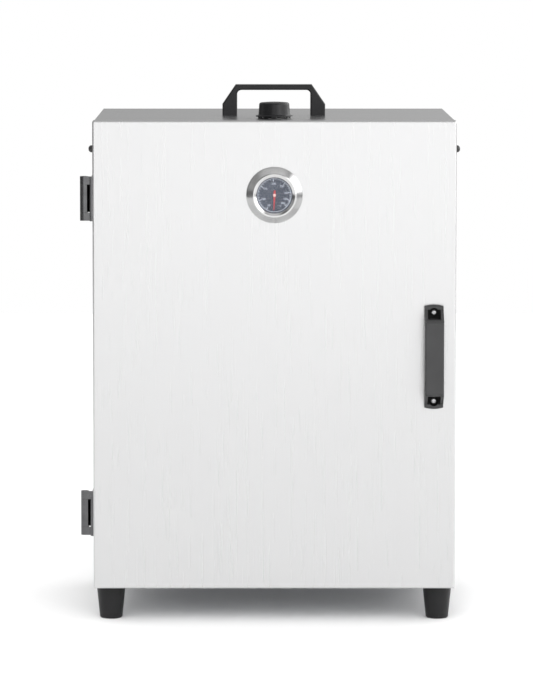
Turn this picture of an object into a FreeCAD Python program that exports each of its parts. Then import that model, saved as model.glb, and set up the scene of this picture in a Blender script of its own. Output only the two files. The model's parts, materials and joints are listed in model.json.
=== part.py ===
import FreeCAD, Part

import math
import os

from FreeCAD import Vector

# Cabinet smoker, in millimetres.  +X is to the right of a person facing the door, +Y runs from the
# door to the rear and +Z is up.  The origin is on the floor, midway across the width and midway
# between the door's front face and the rear of the cabinet.

# --- driving dimensions -------------------------------------------------------------------------
WIDTH = 490.0
HEIGHT = 635.0
BODY_DEPTH = 325.0
FOOT_HEIGHT = 48.0
SHEET = 1.0
DOOR_DEPTH = 22.0
DOOR_OVERHANG = 2.0
DOOR_GAP = 3.0
FRAME_WIDTH = 14.0
DOOR_EDGE_R = 2.2

GRID_COUNT = 4
RUNG_COUNT = 12
RUNG_FIRST = 68.0
RUNG_PITCH = 49.0
PAN_RUNG = 3
GRID_FIRST_RUNG = 5

# --- planes that follow from them ---------------------------------------------------------------
DOOR_HALF = WIDTH / 2
DOOR_INNER = DOOR_HALF - SHEET
HALF = DOOR_HALF - DOOR_OVERHANG
INNER = HALF - SHEET
DOOR_FRONT = -(DOOR_DEPTH + DOOR_GAP + BODY_DEPTH) / 2
DOOR_BACK = DOOR_FRONT + DOOR_DEPTH
CAB_FRONT = DOOR_BACK + DOOR_GAP
CAB_REAR = CAB_FRONT + BODY_DEPTH
REAR_OUT = CAB_REAR - SHEET
REAR_IN = REAR_OUT - SHEET
BASE = FOOT_HEIGHT
FLOOR_IN = BASE + SHEET
TOP = BASE + HEIGHT
TOP_IN = TOP - SHEET
OPENING_X = HALF - FRAME_WIDTH

# shape of every screw's head, as shares of its radius and height
CROWN_SHARE = 0.45
CROWN_BEND = 0.3
CROWN_R_SHARE = 0.72
RECESS_REACH = 0.62
RECESS_HALF_WIDTH = 0.17
RECESS_DEPTH = 0.75

# how far a cutting shape runs on past the faces it cuts
PAST = 1.0
# the small screws' shanks, heads and lengths
SMALL_R = 1.5
SMALL_HEAD_R = 3.2
SMALL_HEAD = 2.0
SMALL_LENGTH = 6.0

X_AXIS = Vector(1, 0, 0)
Y_AXIS = Vector(0, 1, 0)
Z_AXIS = Vector(0, 0, 1)


# --- small helpers ------------------------------------------------------------------------------
def box(x0, x1, y0, y1, z0, z1):
    return Part.makeBox(x1 - x0, y1 - y0, z1 - z0, Vector(x0, y0, z0))


def rod(start, end, radius):
    start = Vector(*start)
    run = Vector(*end) - start
    return Part.makeCylinder(radius, run.Length, start, run)


def hexagon(centre, axis, across_flats, height):
    """A hexagonal prism standing on centre, along axis."""
    corner = across_flats / math.sqrt(3)
    points = []
    for k in range(7):
        angle = math.radians(60 * k)
        points.append(Vector(corner * math.cos(angle), corner * math.sin(angle), 0))
    solid = Part.Face(Part.makePolygon(points)).extrude(Vector(0, 0, height))
    solid.Placement = FreeCAD.Placement(Vector(*centre), FreeCAD.Rotation(Z_AXIS, axis))
    return solid


def turned(profile, centre, axis):
    """Revolves (radius, height) points about axis, with height measured from centre along axis."""
    points = [Vector(r, 0, h) for r, h in profile]
    solid = Part.Face(Part.makePolygon(points + points[:1])).revolve(Vector(), Z_AXIS, 360)
    solid.Placement = FreeCAD.Placement(Vector(*centre), FreeCAD.Rotation(Z_AXIS, axis))
    return solid


def prism(points, direction):
    vectors = [Vector(*p) for p in points]
    return Part.Face(Part.makePolygon(vectors + vectors[:1])).extrude(Vector(*direction))


def edges_where(shape, test):
    return [e for e in shape.Edges if test(e)]


def lies_in(value, axis):
    """A test for edges that lie in the plane axis = value."""
    index = "xyz".index(axis)

    def test(edge):
        return all(abs(tuple(v.Point)[index] - value) < 1e-4 for v in edge.Vertexes)

    return test


def runs_along(axis):
    """A test for straight edges parallel to an axis."""
    index = "xyz".index(axis)

    def test(edge):
        if len(edge.Vertexes) != 2:
            return False
        run = edge.Vertexes[1].Point - edge.Vertexes[0].Point
        return run.Length > 1e-6 and abs(abs(tuple(run)[index]) - run.Length) < 1e-5

    return test


def rounded(shape, radius, *tests):
    """Rounds the edges that pass every test."""
    return shape.makeFillet(radius, edges_where(shape, lambda e: all(t(e) for t in tests)))


def fused(shapes):
    return shapes[0].multiFuse(shapes[1:]).removeSplitter()


def cut(shape, tools):
    return shape.cut(Part.makeCompound(tools))


def mirrored(shape):
    """The same piece on the other side of the cabinet."""
    return shape.mirror(Vector(), X_AXIS)


def bent_rod(points, bend, radius):
    """A round rod along straight runs that are joined by arcs of radius bend."""
    pts = [Vector(*p) for p in points]
    edges = []
    last = pts[0]
    for before, corner, after in zip(pts, pts[1:], pts[2:]):
        back = (before - corner).normalize()
        on = (after - corner).normalize()
        half_angle = back.getAngle(on) / 2
        reach = bend / math.tan(half_angle)
        start = corner + back * reach
        end = corner + on * reach
        bisector = (back + on).normalize()
        middle = corner + bisector * (bend / math.sin(half_angle) - bend)
        if (start - last).Length > 1e-6:
            edges.append(Part.LineSegment(last, start).toShape())
        edges.append(Part.Arc(start, middle, end).toShape())
        last = end
    edges.append(Part.LineSegment(last, pts[-1]).toShape())
    path = Part.Wire(edges)
    ring = Part.Wire(Part.makeCircle(radius, pts[0], pts[1] - pts[0]))
    return path.makePipeShell([ring], True, False)


def with_recess(solid, head_r, depth, top):
    """A screw with a cross recess cut into its head, which ends at height top."""
    reach = head_r * RECESS_REACH
    half = head_r * RECESS_HALF_WIDTH
    across = box(-reach, reach, -half, half, top - depth, top + PAST)
    along = box(-half, half, -reach, reach, top - depth, top + PAST)
    return cut(solid, [across, along])


def placed(solid, base, axis):
    solid.Placement = FreeCAD.Placement(Vector(*base), FreeCAD.Rotation(Z_AXIS, axis))
    return solid


def screw(head_base, axis, head_r, head_h, shank_r, length):
    """A button-head screw.  The head stands on head_base along axis."""
    shoulder = head_h * (1 - CROWN_SHARE)
    bend = head_h * (1 - CROWN_SHARE * CROWN_BEND)
    profile = [(0, -length), (shank_r, -length), (shank_r, 0), (head_r, 0)]
    profile += [(head_r, shoulder), (head_r * CROWN_R_SHARE, bend), (0, head_h)]
    solid = with_recess(turned(profile, (0, 0, 0), Z_AXIS), head_r, head_h * RECESS_DEPTH, head_h)
    return placed(solid, head_base, axis)


def flat_screw(face, axis, head_r, sink, shank_r, length):
    """A countersunk screw whose head lies flush with face."""
    profile = [(0, -length), (shank_r, -length), (shank_r, -sink), (head_r, 0), (0, 0)]
    solid = with_recess(turned(profile, (0, 0, 0), Z_AXIS), head_r, sink * RECESS_DEPTH, 0)
    return placed(solid, face, axis)


def flat_screw_hole(face, axis, head_r, sink, shank_r, depth):
    """The shape that cuts a countersunk hole through a plate."""
    profile = [(0, -depth), (shank_r, -depth), (shank_r, -sink), (head_r, 0), (head_r, PAST), (0, PAST)]
    return turned(profile, face, axis)


def save(name, shape):
    if not shape.isValid():
        print("not valid:", name)
    solids = shape.Solids
    print(f"{name}: {len(solids)} solid(s), {sum(s.Volume for s in solids) / 1000:.2f} cm3")
    whole = solids[0] if len(solids) == 1 else Part.makeCompound(solids)
    whole.exportStep(os.path.join("parts", name + ".step"))


# --- cabinet ------------------------------------------------------------------------------------
REAR_LIP = 12.0
FOLDED_LIP = 12.0
BASE_LIP = 13.0
LIP_FRONT = CAB_FRONT + 4.0
LIP_REAR = REAR_IN - 2.0
PANEL_EDGE_R = 0.9
REAR_SCREW_X = HALF - 6.0
REAR_SCREW_SHARES = (0.06, 0.35, 0.65, 0.94)
AIR_SLOT_X = (-100.0, -50.0, 50.0, 100.0)
AIR_SLOT_HALF = 14.0
AIR_SLOT_Y = (118.0, 124.0)
STUD_Z = TOP - 40.4
LADDER_FRONT = CAB_FRONT + 22.0
LADDER_REAR = REAR_IN - 33.0
STUD_Y = (LADDER_FRONT, LADDER_REAR)
STUD_SHANK_R = 2.5

HINGE_Z = (TOP - 106.1, BASE + 100.5)
HINGE_HEIGHT = 60.0
HINGE_ARM = 11.0
HINGE_OUT = 12.3
HINGE_BARREL_R = 5.35
HINGE_PIN_R = 3.0
HINGE_PLATE = 4.0
HINGE_RUNNING = 0.05
HINGE_LINK_INSET = 1.6
HINGE_LINK_SHARE = 0.72
HINGE_LINK_LIP = 0.6
HINGE_X = -DOOR_HALF - HINGE_OUT
HINGE_Y = (DOOR_BACK + CAB_FRONT) / 2
HINGE_SCREW_R = 2.0
HINGE_SCREW_GRIP = 5.0
HINGE_EDGE_R = 1.5
KNUCKLE_GAP = 0.25
PIN_INSET = 0.4
HINGE_HEAD_R = 3.6
HINGE_SINK = 2.0
HINGE_NOSE = 4.2
CABINET_SCREW_DZ = 24.5
DOOR_SCREW_DZ = 12.0
CABINET_LEAF_Y = (CAB_FRONT + 1.5, CAB_FRONT + 26.5)
DOOR_LEAF_Y = (DOOR_BACK - 13.5, DOOR_BACK - 1.5)
CABINET_SCREW_Y = CAB_FRONT + 19.5
DOOR_SCREW_Y = DOOR_BACK - 7.5

FOOT_X = HALF - 20.0
FOOT_Y = (CAB_FRONT + 25.0, CAB_REAR - 25.0)
FOOT_TOP_R = 20.0
FOOT_BOTTOM_R = 15.4
FOOT_SCREW_R = 3.0

VENT_Y = DOOR_FRONT + 60.0
VENT_HOLES = 4
VENT_HOLE_R = 5.0
VENT_PITCH_R = 14.0
SPINDLE_R = 4.0
SPINDLE_CLEARANCE = 0.05

CARRY_Y = DOOR_FRONT + 160.0
HANDLE_SCREW_X = 60.0
HANDLE_SCREW_R = 2.5

BOX_HALF = 90.0
BOX_Z = (62.0, 152.0)
BOX_DEPTH = 50.0
BOX_WALL = 1.5
BOX_EDGE_R = 5.0
EAR_REACH = 12.0
EAR_THICK = 3.0
EAR_HALF = 7.0
EAR_EDGE_R = 4.0
EAR_SCREW_OUT = 6.0
EAR_INSET = 14.0
BOX_REAR = REAR_OUT + BOX_DEPTH
CONTROL_Z = 106.0

HEATER_Z = 82.0
HEATER_R = 4.0
HEATER_TAIL_X = 28.0
TAIL_CLEARANCE = 1.0


def hinge_screw_spots(y, dz):
    return [(y, z + step) for z in HINGE_Z for step in (-dz, dz)]


def side_panel():
    """The left side: a web with a frame flange at the front and a lip at the rear."""
    web = box(-HALF, -INNER, CAB_FRONT, CAB_REAR, BASE, TOP_IN)
    flange = box(-HALF, -OPENING_X, CAB_FRONT, CAB_FRONT + SHEET, BASE, TOP_IN)
    lip = box(-HALF, -HALF + REAR_LIP, REAR_OUT, CAB_REAR, BASE, TOP_IN)
    panel = fused([web, flange, lip])
    panel = rounded(panel, PANEL_EDGE_R, runs_along("z"), lies_in(-HALF, "x"))
    studs = [rod((-HALF - PAST, y, STUD_Z), (-INNER + PAST, y, STUD_Z), STUD_SHANK_R) for y in STUD_Y]
    lip_screws = [rod((-REAR_SCREW_X, REAR_OUT - PAST, z), (-REAR_SCREW_X, CAB_REAR + PAST, z), SMALL_R)
                  for z in rear_screw_heights()]
    return cut(panel, studs + lip_screws)


def rear_screw_heights():
    return [BASE + HEIGHT * share for share in REAR_SCREW_SHARES]


def left_side_panel():
    holes = [rod((-HALF - PAST, y, z), (-INNER + PAST, y, z), HINGE_SCREW_R)
             for y, z in hinge_screw_spots(CABINET_SCREW_Y, CABINET_SCREW_DZ)]
    return cut(side_panel(), holes)


def vent_holes(z0, z1):
    holes = []
    for k in range(VENT_HOLES):
        angle = math.radians(360 / VENT_HOLES * (k + 0.5))
        x = VENT_PITCH_R * math.cos(angle)
        y = VENT_Y + VENT_PITCH_R * math.sin(angle)
        holes.append(rod((x, y, z0), (x, y, z1), VENT_HOLE_R))
    return holes


def top_panel():
    """A sheet with a frame flange down at the front and a lip down at the rear."""
    plate = box(-HALF, HALF, CAB_FRONT, CAB_REAR, TOP_IN, TOP)
    flange = box(-OPENING_X, OPENING_X, CAB_FRONT, CAB_FRONT + SHEET, TOP - FRAME_WIDTH, TOP)
    lip_half = HALF - REAR_LIP
    lip = box(-lip_half, lip_half, REAR_OUT, CAB_REAR, TOP - REAR_LIP, TOP)
    side_lips = [box(x, x + SHEET, LIP_FRONT, LIP_REAR, TOP - FOLDED_LIP, TOP_IN)
                 for x in (-INNER, INNER - SHEET)]
    panel = fused([plate, flange, lip] + side_lips)
    panel = rounded(panel, PANEL_EDGE_R, lies_in(TOP, "z"))
    low, high = TOP_IN - PAST, TOP + PAST
    spindle = rod((0, VENT_Y, low), (0, VENT_Y, high), SPINDLE_R + SPINDLE_CLEARANCE)
    handle = [rod((x, CARRY_Y, low), (x, CARRY_Y, high), HANDLE_SCREW_R)
              for x in (-HANDLE_SCREW_X, HANDLE_SCREW_X)]
    return cut(panel, [spindle] + handle + vent_holes(low, high))


def rear_panel():
    """A flat sheet inside the lips, pierced for the heater tails and the sensor's capillary."""
    sheet = box(-INNER, INNER, REAR_IN, REAR_OUT, FLOOR_IN, TOP_IN)

    def hole(x, z, radius):
        return rod((x, REAR_IN - PAST, z), (x, REAR_OUT + PAST, z), radius)

    holes = [hole(x, HEATER_Z, HEATER_R + TAIL_CLEARANCE) for x in (-HEATER_TAIL_X, HEATER_TAIL_X)]
    holes.append(hole(CAPILLARY_X, CAPILLARY_Z, CAPILLARY_R + CAPILLARY_CLEARANCE))
    holes += [hole(x, z, SMALL_R) for x, z in box_screw_spots()]
    holes += [hole(x, z, SMALL_R) for x in (-REAR_SCREW_X, REAR_SCREW_X) for z in rear_screw_heights()]
    return cut(sheet, holes)


def base_panel():
    """The floor of the cabinet: a frame flange up at the front and low upturned edges."""
    plate = box(-INNER, INNER, CAB_FRONT + SHEET, REAR_IN, BASE, FLOOR_IN)
    flange = box(-OPENING_X, OPENING_X, CAB_FRONT, CAB_FRONT + SHEET, BASE, BASE + FRAME_WIDTH)
    side_lips = [box(x, x + SHEET, LIP_FRONT, LIP_REAR, BASE, BASE + BASE_LIP)
                 for x in (-INNER, INNER - SHEET)]
    rear_lip = box(-OPENING_X, OPENING_X, REAR_IN - SHEET, REAR_IN, BASE, BASE + BASE_LIP)
    panel = fused([plate, flange, rear_lip] + side_lips)
    low, high = BASE - PAST, FLOOR_IN + PAST
    feet = [rod((x, y, low), (x, y, high), FOOT_SCREW_R) for x in (-FOOT_X, FOOT_X) for y in FOOT_Y]
    slots = [box(x - AIR_SLOT_HALF, x + AIR_SLOT_HALF, *AIR_SLOT_Y, low, high) for x in AIR_SLOT_X]
    supports = [rod((x, SUPPORT_SCREW_Y, low), (x, SUPPORT_SCREW_Y, high), SMALL_R)
                for x in (-SUPPORT_SCREW_X, SUPPORT_SCREW_X)]
    return cut(panel, feet + slots + supports)


# --- feet ---------------------------------------------------------------------------------------
FOOT_WEB = 12.0
FOOT_RECESS_R = 8.0
FOOT_LIP = 1.6
FOOT_TOP_EDGE = (0.6, 1.0)
FOOT_HEAD_R = 5.5
FOOT_HEAD = 3.3
FOOT_SCREW_ON = 8.0
FOOT_NUT_FLATS = 10.0
FOOT_NUT = 5.0


def foot(x, y):
    """A tapered moulded foot, hollow from below, screwed up through its top web."""
    edge_r, edge_h = FOOT_TOP_EDGE
    profile = [(FOOT_RECESS_R, 0), (FOOT_BOTTOM_R - FOOT_LIP, 0), (FOOT_BOTTOM_R, FOOT_LIP)]
    profile += [(FOOT_TOP_R, FOOT_HEIGHT - edge_h), (FOOT_TOP_R - edge_r, FOOT_HEIGHT)]
    profile += [(FOOT_SCREW_R, FOOT_HEIGHT), (FOOT_SCREW_R, FOOT_HEIGHT - FOOT_WEB)]
    profile += [(FOOT_RECESS_R, FOOT_HEIGHT - FOOT_WEB)]
    return turned(profile, (x, y, 0), Z_AXIS)


def machine_screws():
    """The screws that hold the feet, with their nuts, and those that hold the carry handle."""
    pieces = carry_handle_screws()
    for x in (-FOOT_X, FOOT_X):
        for y in FOOT_Y:
            seat = (x, y, FOOT_HEIGHT - FOOT_WEB)
            length = FOOT_WEB + FOOT_SCREW_ON
            pieces.append(screw(seat, -Z_AXIS, FOOT_HEAD_R, FOOT_HEAD, FOOT_SCREW_R, length))
            nut = hexagon((x, y, FLOOR_IN), Z_AXIS, FOOT_NUT_FLATS, FOOT_NUT)
            thread = rod((x, y, FLOOR_IN - PAST), (x, y, FLOOR_IN + FOOT_NUT + PAST), FOOT_SCREW_R)
            pieces.append(nut.cut(thread))
    return Part.makeCompound(pieces)


# --- carry handle on the top --------------------------------------------------------------------
CARRY_HALF = 71.0
CARRY_HEIGHT = 42.3
CARRY_BAR = 7.2
CARRY_DEPTH = 26.0
CARRY_SHOULDER = 15.4
CARRY_TOP_HALF = 52.7
CARRY_LEG = 20.4
CARRY_GAP_R = 6.0
CARRY_EDGE_R = 1.8
CARRY_HOLE = 13.0
CARRY_WASHER = 1.2
CARRY_WASHER_R = 7.5
CARRY_HEAD_R = 4.8
CARRY_HEAD = 2.8


def carry_handle():
    """A bridge handle: straight feet, sloping shoulders and a flat bar."""
    outline = [(-CARRY_HALF, 0), (-CARRY_HALF, CARRY_SHOULDER), (-CARRY_TOP_HALF, CARRY_HEIGHT)]
    outline += [(CARRY_TOP_HALF, CARRY_HEIGHT), (CARRY_HALF, CARRY_SHOULDER), (CARRY_HALF, 0)]
    y0 = CARRY_Y - CARRY_DEPTH / 2
    points = [(x, y0, TOP + z) for x, z in outline]
    block = prism(points, (0, CARRY_DEPTH, 0))
    inner = CARRY_HALF - CARRY_LEG
    bar_under = TOP + CARRY_HEIGHT - CARRY_BAR
    gap = box(-inner, inner, y0 - PAST, y0 + CARRY_DEPTH + PAST, TOP - CARRY_GAP_R, bar_under)
    gap = rounded(gap, CARRY_GAP_R, runs_along("y"), lies_in(bar_under, "z"))
    handle = block.cut(gap)
    front_and_back = edges_where(handle, lambda e: not lies_in(TOP, "z")(e) and not runs_along("y")(e))
    handle = handle.makeFillet(CARRY_EDGE_R, front_and_back)
    holes = [rod((x, CARRY_Y, TOP - PAST), (x, CARRY_Y, TOP + CARRY_HOLE), HANDLE_SCREW_R)
             for x in (-HANDLE_SCREW_X, HANDLE_SCREW_X)]
    return cut(handle, holes)


def carry_handle_screws():
    """Each screw comes up from inside the cabinet through a broad washer."""
    pieces = []
    seat = TOP_IN - CARRY_WASHER
    for x in (-HANDLE_SCREW_X, HANDLE_SCREW_X):
        washer = rod((x, CARRY_Y, seat), (x, CARRY_Y, TOP_IN), CARRY_WASHER_R)
        core = rod((x, CARRY_Y, seat - PAST), (x, CARRY_Y, TOP_IN + PAST), HANDLE_SCREW_R)
        pieces.append(washer.cut(core))
        pieces.append(screw((x, CARRY_Y, seat), -Z_AXIS, CARRY_HEAD_R, CARRY_HEAD,
                            HANDLE_SCREW_R, CARRY_HOLE))
    return pieces


# --- vent ---------------------------------------------------------------------------------------
COLLAR_R = 22.0
COLLAR_WALL = 2.0
COLLAR_HEIGHT = 2.6
COLLAR_SLOTS = 12
SKIRT_R = 25.0
SKIRT_GAP = 0.25
KNOB_HEIGHT = 22.8
KNOB_FOOT_R = 21.4
KNOB_TOP_R = 20.4
DAMPER_R = 22.0
DAMPER_THICK = 1.5
DAMPER_GAP = 0.4
COLLAR_SLOT_HALF = 3.2
COLLAR_SILL = 0.9
KNOB_WALL = 2.0
KNOB_BOSS_R = 7.5
KNOB_TOP_WALL = 6.0
MARK_HALF = 0.9
MARK_DEPTH = 1.6
MARK_REACH = 7.0
SPINDLE_TAIL = 6.0
SPINDLE_NUT_FLATS = 13.0
SPINDLE_NUT = 5.0


def vent_collar():
    """A slotted ring round the vent holes, which lets smoke out under the knob's skirt."""
    profile = [(COLLAR_R - COLLAR_WALL, 0), (COLLAR_R, 0), (COLLAR_R, COLLAR_HEIGHT)]
    profile += [(COLLAR_R - COLLAR_WALL, COLLAR_HEIGHT)]
    ring = turned(profile, (0, VENT_Y, TOP), Z_AXIS)
    slots = []
    for k in range(COLLAR_SLOTS):
        slot = box(COLLAR_R - COLLAR_WALL - PAST, COLLAR_R + PAST, -COLLAR_SLOT_HALF, COLLAR_SLOT_HALF,
                   COLLAR_SILL, COLLAR_HEIGHT + PAST)
        slot.rotate(Vector(), Z_AXIS, 360 / COLLAR_SLOTS * (k + 0.5))
        slot.translate(Vector(0, VENT_Y, TOP))
        slots.append(slot)
    return cut(ring, slots)


def vent_knob():
    """A hollow cap with a flared skirt, a slightly domed top and a boss for the spindle."""
    skirt = COLLAR_HEIGHT + SKIRT_GAP
    wall = KNOB_WALL
    top = TOP + KNOB_HEIGHT
    outside = [(SKIRT_R, skirt), (SKIRT_R, skirt + 1.5), (KNOB_FOOT_R + 0.6, skirt + 2.0)]
    outside += [(KNOB_FOOT_R, skirt + 2.8), (KNOB_TOP_R, KNOB_HEIGHT - 3.0)]
    outside += [(KNOB_TOP_R - 0.6, KNOB_HEIGHT - 1.7), (KNOB_TOP_R - 2.2, KNOB_HEIGHT - 0.9)]
    outside += [(KNOB_TOP_R * 0.5, KNOB_HEIGHT - 0.2), (0, KNOB_HEIGHT)]
    inside = [(0, KNOB_HEIGHT - wall - 0.6), (KNOB_TOP_R - wall, KNOB_HEIGHT - wall - 1.6)]
    inside += [(KNOB_FOOT_R - wall, skirt)]
    cap = turned(outside + inside, (0, VENT_Y, TOP), Z_AXIS)
    boss = rod((0, VENT_Y, TOP + skirt), (0, VENT_Y, top - wall), KNOB_BOSS_R)
    groove = box(-SKIRT_R, -KNOB_TOP_R + MARK_REACH, VENT_Y - MARK_HALF, VENT_Y + MARK_HALF,
                 top - MARK_DEPTH, top + PAST)
    bore = rod((0, VENT_Y, TOP), (0, VENT_Y, top - KNOB_TOP_WALL), SPINDLE_R)
    return cut(cap.fuse(boss).removeSplitter(), [groove, bore])


def damper_disc():
    """The plate under the roof whose holes uncover or shut the vent holes."""
    high = TOP_IN - DAMPER_GAP
    low = high - DAMPER_THICK
    disc = rod((0, VENT_Y, low), (0, VENT_Y, high), DAMPER_R)
    bore = rod((0, VENT_Y, low - PAST), (0, VENT_Y, high + PAST), SPINDLE_R)
    return cut(disc, vent_holes(low - PAST, high + PAST) + [bore])


def vent_spindle():
    """The shaft from knob to damper, with its retaining nut below the damper."""
    low = TOP_IN - DAMPER_GAP - DAMPER_THICK
    shaft = rod((0, VENT_Y, low - SPINDLE_TAIL), (0, VENT_Y, TOP + KNOB_HEIGHT - KNOB_TOP_WALL), SPINDLE_R)
    nut = hexagon((0, VENT_Y, low - SPINDLE_NUT), Z_AXIS, SPINDLE_NUT_FLATS, SPINDLE_NUT)
    nut = nut.cut(rod((0, VENT_Y, low - SPINDLE_NUT - PAST), (0, VENT_Y, low + PAST), SPINDLE_R))
    return Part.makeCompound([shaft, nut])


# --- ladders that carry the grids ---------------------------------------------------------------
LADDER_X = HALF - 9.0
RUNG_X = HALF - 25.0
RUNG_R = 2.5
POST_R = 3.0
TAB_X = LADDER_X + 4.0
TAB_THICK = 2.0
TAB_HALF = 7.0
TAB_TAIL = 24.0
TAB_EDGE_R = 5.0
POST_BELOW_STUD = 8.0
RUNG_BEND = 7.0
STUD_LENGTH = 15.5
STUD_HEAD = [(5.6, 0), (5.6, 1.2), (4.9, 1.6), (4.9, 5.2), (4.4, 6.9), (3.2, 8.2), (1.6, 8.9), (0, 9.0)]
SPACER_R = 4.5
STUD_NUT_FLATS = 8.0
STUD_NUT = 4.0


def rung_z(k):
    return RUNG_FIRST + RUNG_PITCH * k


def ladder_post(y):
    """An upright on the right, with a flat tab at its top for the stud."""
    post_top = STUD_Z - POST_BELOW_STUD
    post = rod((LADDER_X, y, FLOOR_IN), (LADDER_X, y, post_top), POST_R)
    tab = box(TAB_X - TAB_THICK, TAB_X, y - TAB_HALF, y + TAB_HALF, STUD_Z - TAB_TAIL, STUD_Z + TAB_HALF)
    tab = rounded(tab, TAB_EDGE_R, runs_along("x"))
    hole = rod((TAB_X - TAB_THICK - PAST, y, STUD_Z), (HALF, y, STUD_Z), STUD_SHANK_R)
    return post.fuse(tab).removeSplitter().cut(hole)


def ladder_posts():
    right = [ladder_post(y) for y in STUD_Y]
    return Part.makeCompound(right + [mirrored(post) for post in right])


def ladder_rungs():
    """Each rung is a rod bent to a U, and it is welded to both uprights on its side."""
    posts = [rod((LADDER_X, y, FLOOR_IN), (LADDER_X, y, TOP), POST_R) for y in STUD_Y]
    rungs = []
    for k in range(RUNG_COUNT):
        z = rung_z(k)
        points = [(LADDER_X, LADDER_FRONT, z), (RUNG_X, LADDER_FRONT, z)]
        points += [(RUNG_X, LADDER_REAR, z), (LADDER_X, LADDER_REAR, z)]
        rungs.append(cut(bent_rod(points, RUNG_BEND, RUNG_R), posts))
    return Part.makeCompound(rungs + [mirrored(rung) for rung in rungs])


def ladder_studs():
    """Domed screws through the side walls, each with a spacer and a nut that holds the ladder."""
    pieces = []
    for side in (-1, 1):
        for y in STUD_Y:
            outward = X_AXIS * side
            head = (side * HALF, y, STUD_Z)
            shank = [(0, -STUD_LENGTH), (STUD_SHANK_R, -STUD_LENGTH), (STUD_SHANK_R, 0)]
            pieces.append(turned(shank + STUD_HEAD, head, outward))
            sleeve = rod((side * TAB_X, y, STUD_Z), (side * INNER, y, STUD_Z), SPACER_R)
            nut_face = TAB_X - TAB_THICK
            nut = hexagon((side * nut_face, y, STUD_Z), -outward, STUD_NUT_FLATS, STUD_NUT)
            deep = nut_face - STUD_NUT - PAST
            core = rod((side * deep, y, STUD_Z), (side * HALF, y, STUD_Z), STUD_SHANK_R)
            pieces += [sleeve.cut(core), nut.cut(core)]
    return Part.makeCompound(pieces)


# --- grids and pans -----------------------------------------------------------------------------
GRID_ROD_R = 2.5
WIRE_R = 1.5
GRID_WIRES = 19
GRID_WIRE_PITCH = 22.0
GRID_SIDE_X = RUNG_X + 7.0
GRID_Y = (CAB_FRONT + 15.0, REAR_IN - 25.0)
REST_GAP = 0.1
GRID_CORNER_R = 16.0
CROSS_ROD_R = 2.0
CROSS_ROD_INSET = 90.0


def grid():
    """One cooking grid, centred on z = 0: a rod frame, close wires and two cross rods."""
    front, rear = GRID_Y
    corners = [(0, front, 0), (GRID_SIDE_X, front, 0), (GRID_SIDE_X, rear, 0)]
    corners += [(-GRID_SIDE_X, rear, 0), (-GRID_SIDE_X, front, 0), (0, front, 0)]
    pieces = [bent_rod(corners, GRID_CORNER_R, GRID_ROD_R)]
    for k in range(GRID_WIRES):
        x = (k - (GRID_WIRES - 1) / 2) * GRID_WIRE_PITCH
        pieces.append(rod((x, front, 0), (x, rear, 0), WIRE_R))
    for y in (front + CROSS_ROD_INSET, rear - CROSS_ROD_INSET):
        pieces.append(rod((-GRID_SIDE_X, y, 0), (GRID_SIDE_X, y, 0), CROSS_ROD_R))
    return fused(pieces)


PAN_HALF = RUNG_X - RUNG_R - 5.0
PAN_RIM = RUNG_X + 6.0
PAN_Y = (CAB_FRONT + 34.0, REAR_IN - 43.0)
PAN_DEPTH = 50.0
PAN_CORNER_R = 24.0
TRAY_FLOOR_R = 6.0


def tray(half, y0, y1, z0, depth, rim, corner):
    """A pressed tray with a flat rim, standing on z0."""
    z1 = z0 + depth
    outer = box(-half, half, y0, y1, z0, z1)
    outer = rounded(outer, corner, runs_along("z"))
    outer = rounded(outer, TRAY_FLOOR_R, lies_in(z0, "z"))
    inner = box(-half + SHEET, half - SHEET, y0 + SHEET, y1 - SHEET, z0 + SHEET, z1 + PAST)
    inner = rounded(inner, corner - SHEET, runs_along("z"))
    inner = rounded(inner, TRAY_FLOOR_R - SHEET, lies_in(z0 + SHEET, "z"))
    lip = box(-half - rim, half + rim, y0 - rim, y1 + rim, z1 - SHEET, z1)
    lip = rounded(lip, corner + rim, runs_along("z"))
    return cut(outer.fuse(lip).removeSplitter(), [inner])


def water_pan():
    """The water bowl: its rim rests on a pair of rungs above the heater."""
    rim_under = rung_z(PAN_RUNG) + RUNG_R + REST_GAP
    z0 = rim_under + SHEET - PAN_DEPTH
    return tray(PAN_HALF, PAN_Y[0], PAN_Y[1], z0, PAN_DEPTH, PAN_RIM - PAN_HALF, PAN_CORNER_R)


CHIP_HALF = 112.0
CHIP_Y = (-70.0, 62.0)
CHIP_DEPTH = 30.0
CHIP_RIM = 6.0
CHIP_CORNER_R = 14.0


def chip_tray():
    """The wood-chip tray, which stands on the heating element."""
    z0 = HEATER_Z + HEATER_R + REST_GAP
    return tray(CHIP_HALF, CHIP_Y[0], CHIP_Y[1], z0, CHIP_DEPTH, CHIP_RIM, CHIP_CORNER_R)


# --- heater -------------------------------------------------------------------------------------
STRIP = 1.5
SUPPORT_Y = -36.0
SUPPORT_HALF = 115.0
SUPPORT_TOE = 14.0
SUPPORT_SCREW_X = 104.0
SUPPORT_SCREW_Y = SUPPORT_Y + 7.0
SUPPORT_WINDOWS = (-66.0, 0.0, 66.0)
SUPPORT_WINDOW_HALF = 18.0
SUPPORT_WINDOW_LOW = 8.0
SUPPORT_WINDOW_HIGH = 7.0
HEATER_OUTER_X = 100.0
HEATER_INNER_X = 35.0
HEATER_FRONT = -72.0
HEATER_REAR = 142.0
HEATER_INNER_REAR = 90.0
HEATER_TAIL_Y = BOX_REAR - 38.0
HEATER_BEND = 16.0
FLANGE_HALF_X = 46.0
FLANGE_HALF_Z = 14.0
FLANGE_THICK = 2.0
FLANGE_CORNER_R = 6.0


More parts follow.
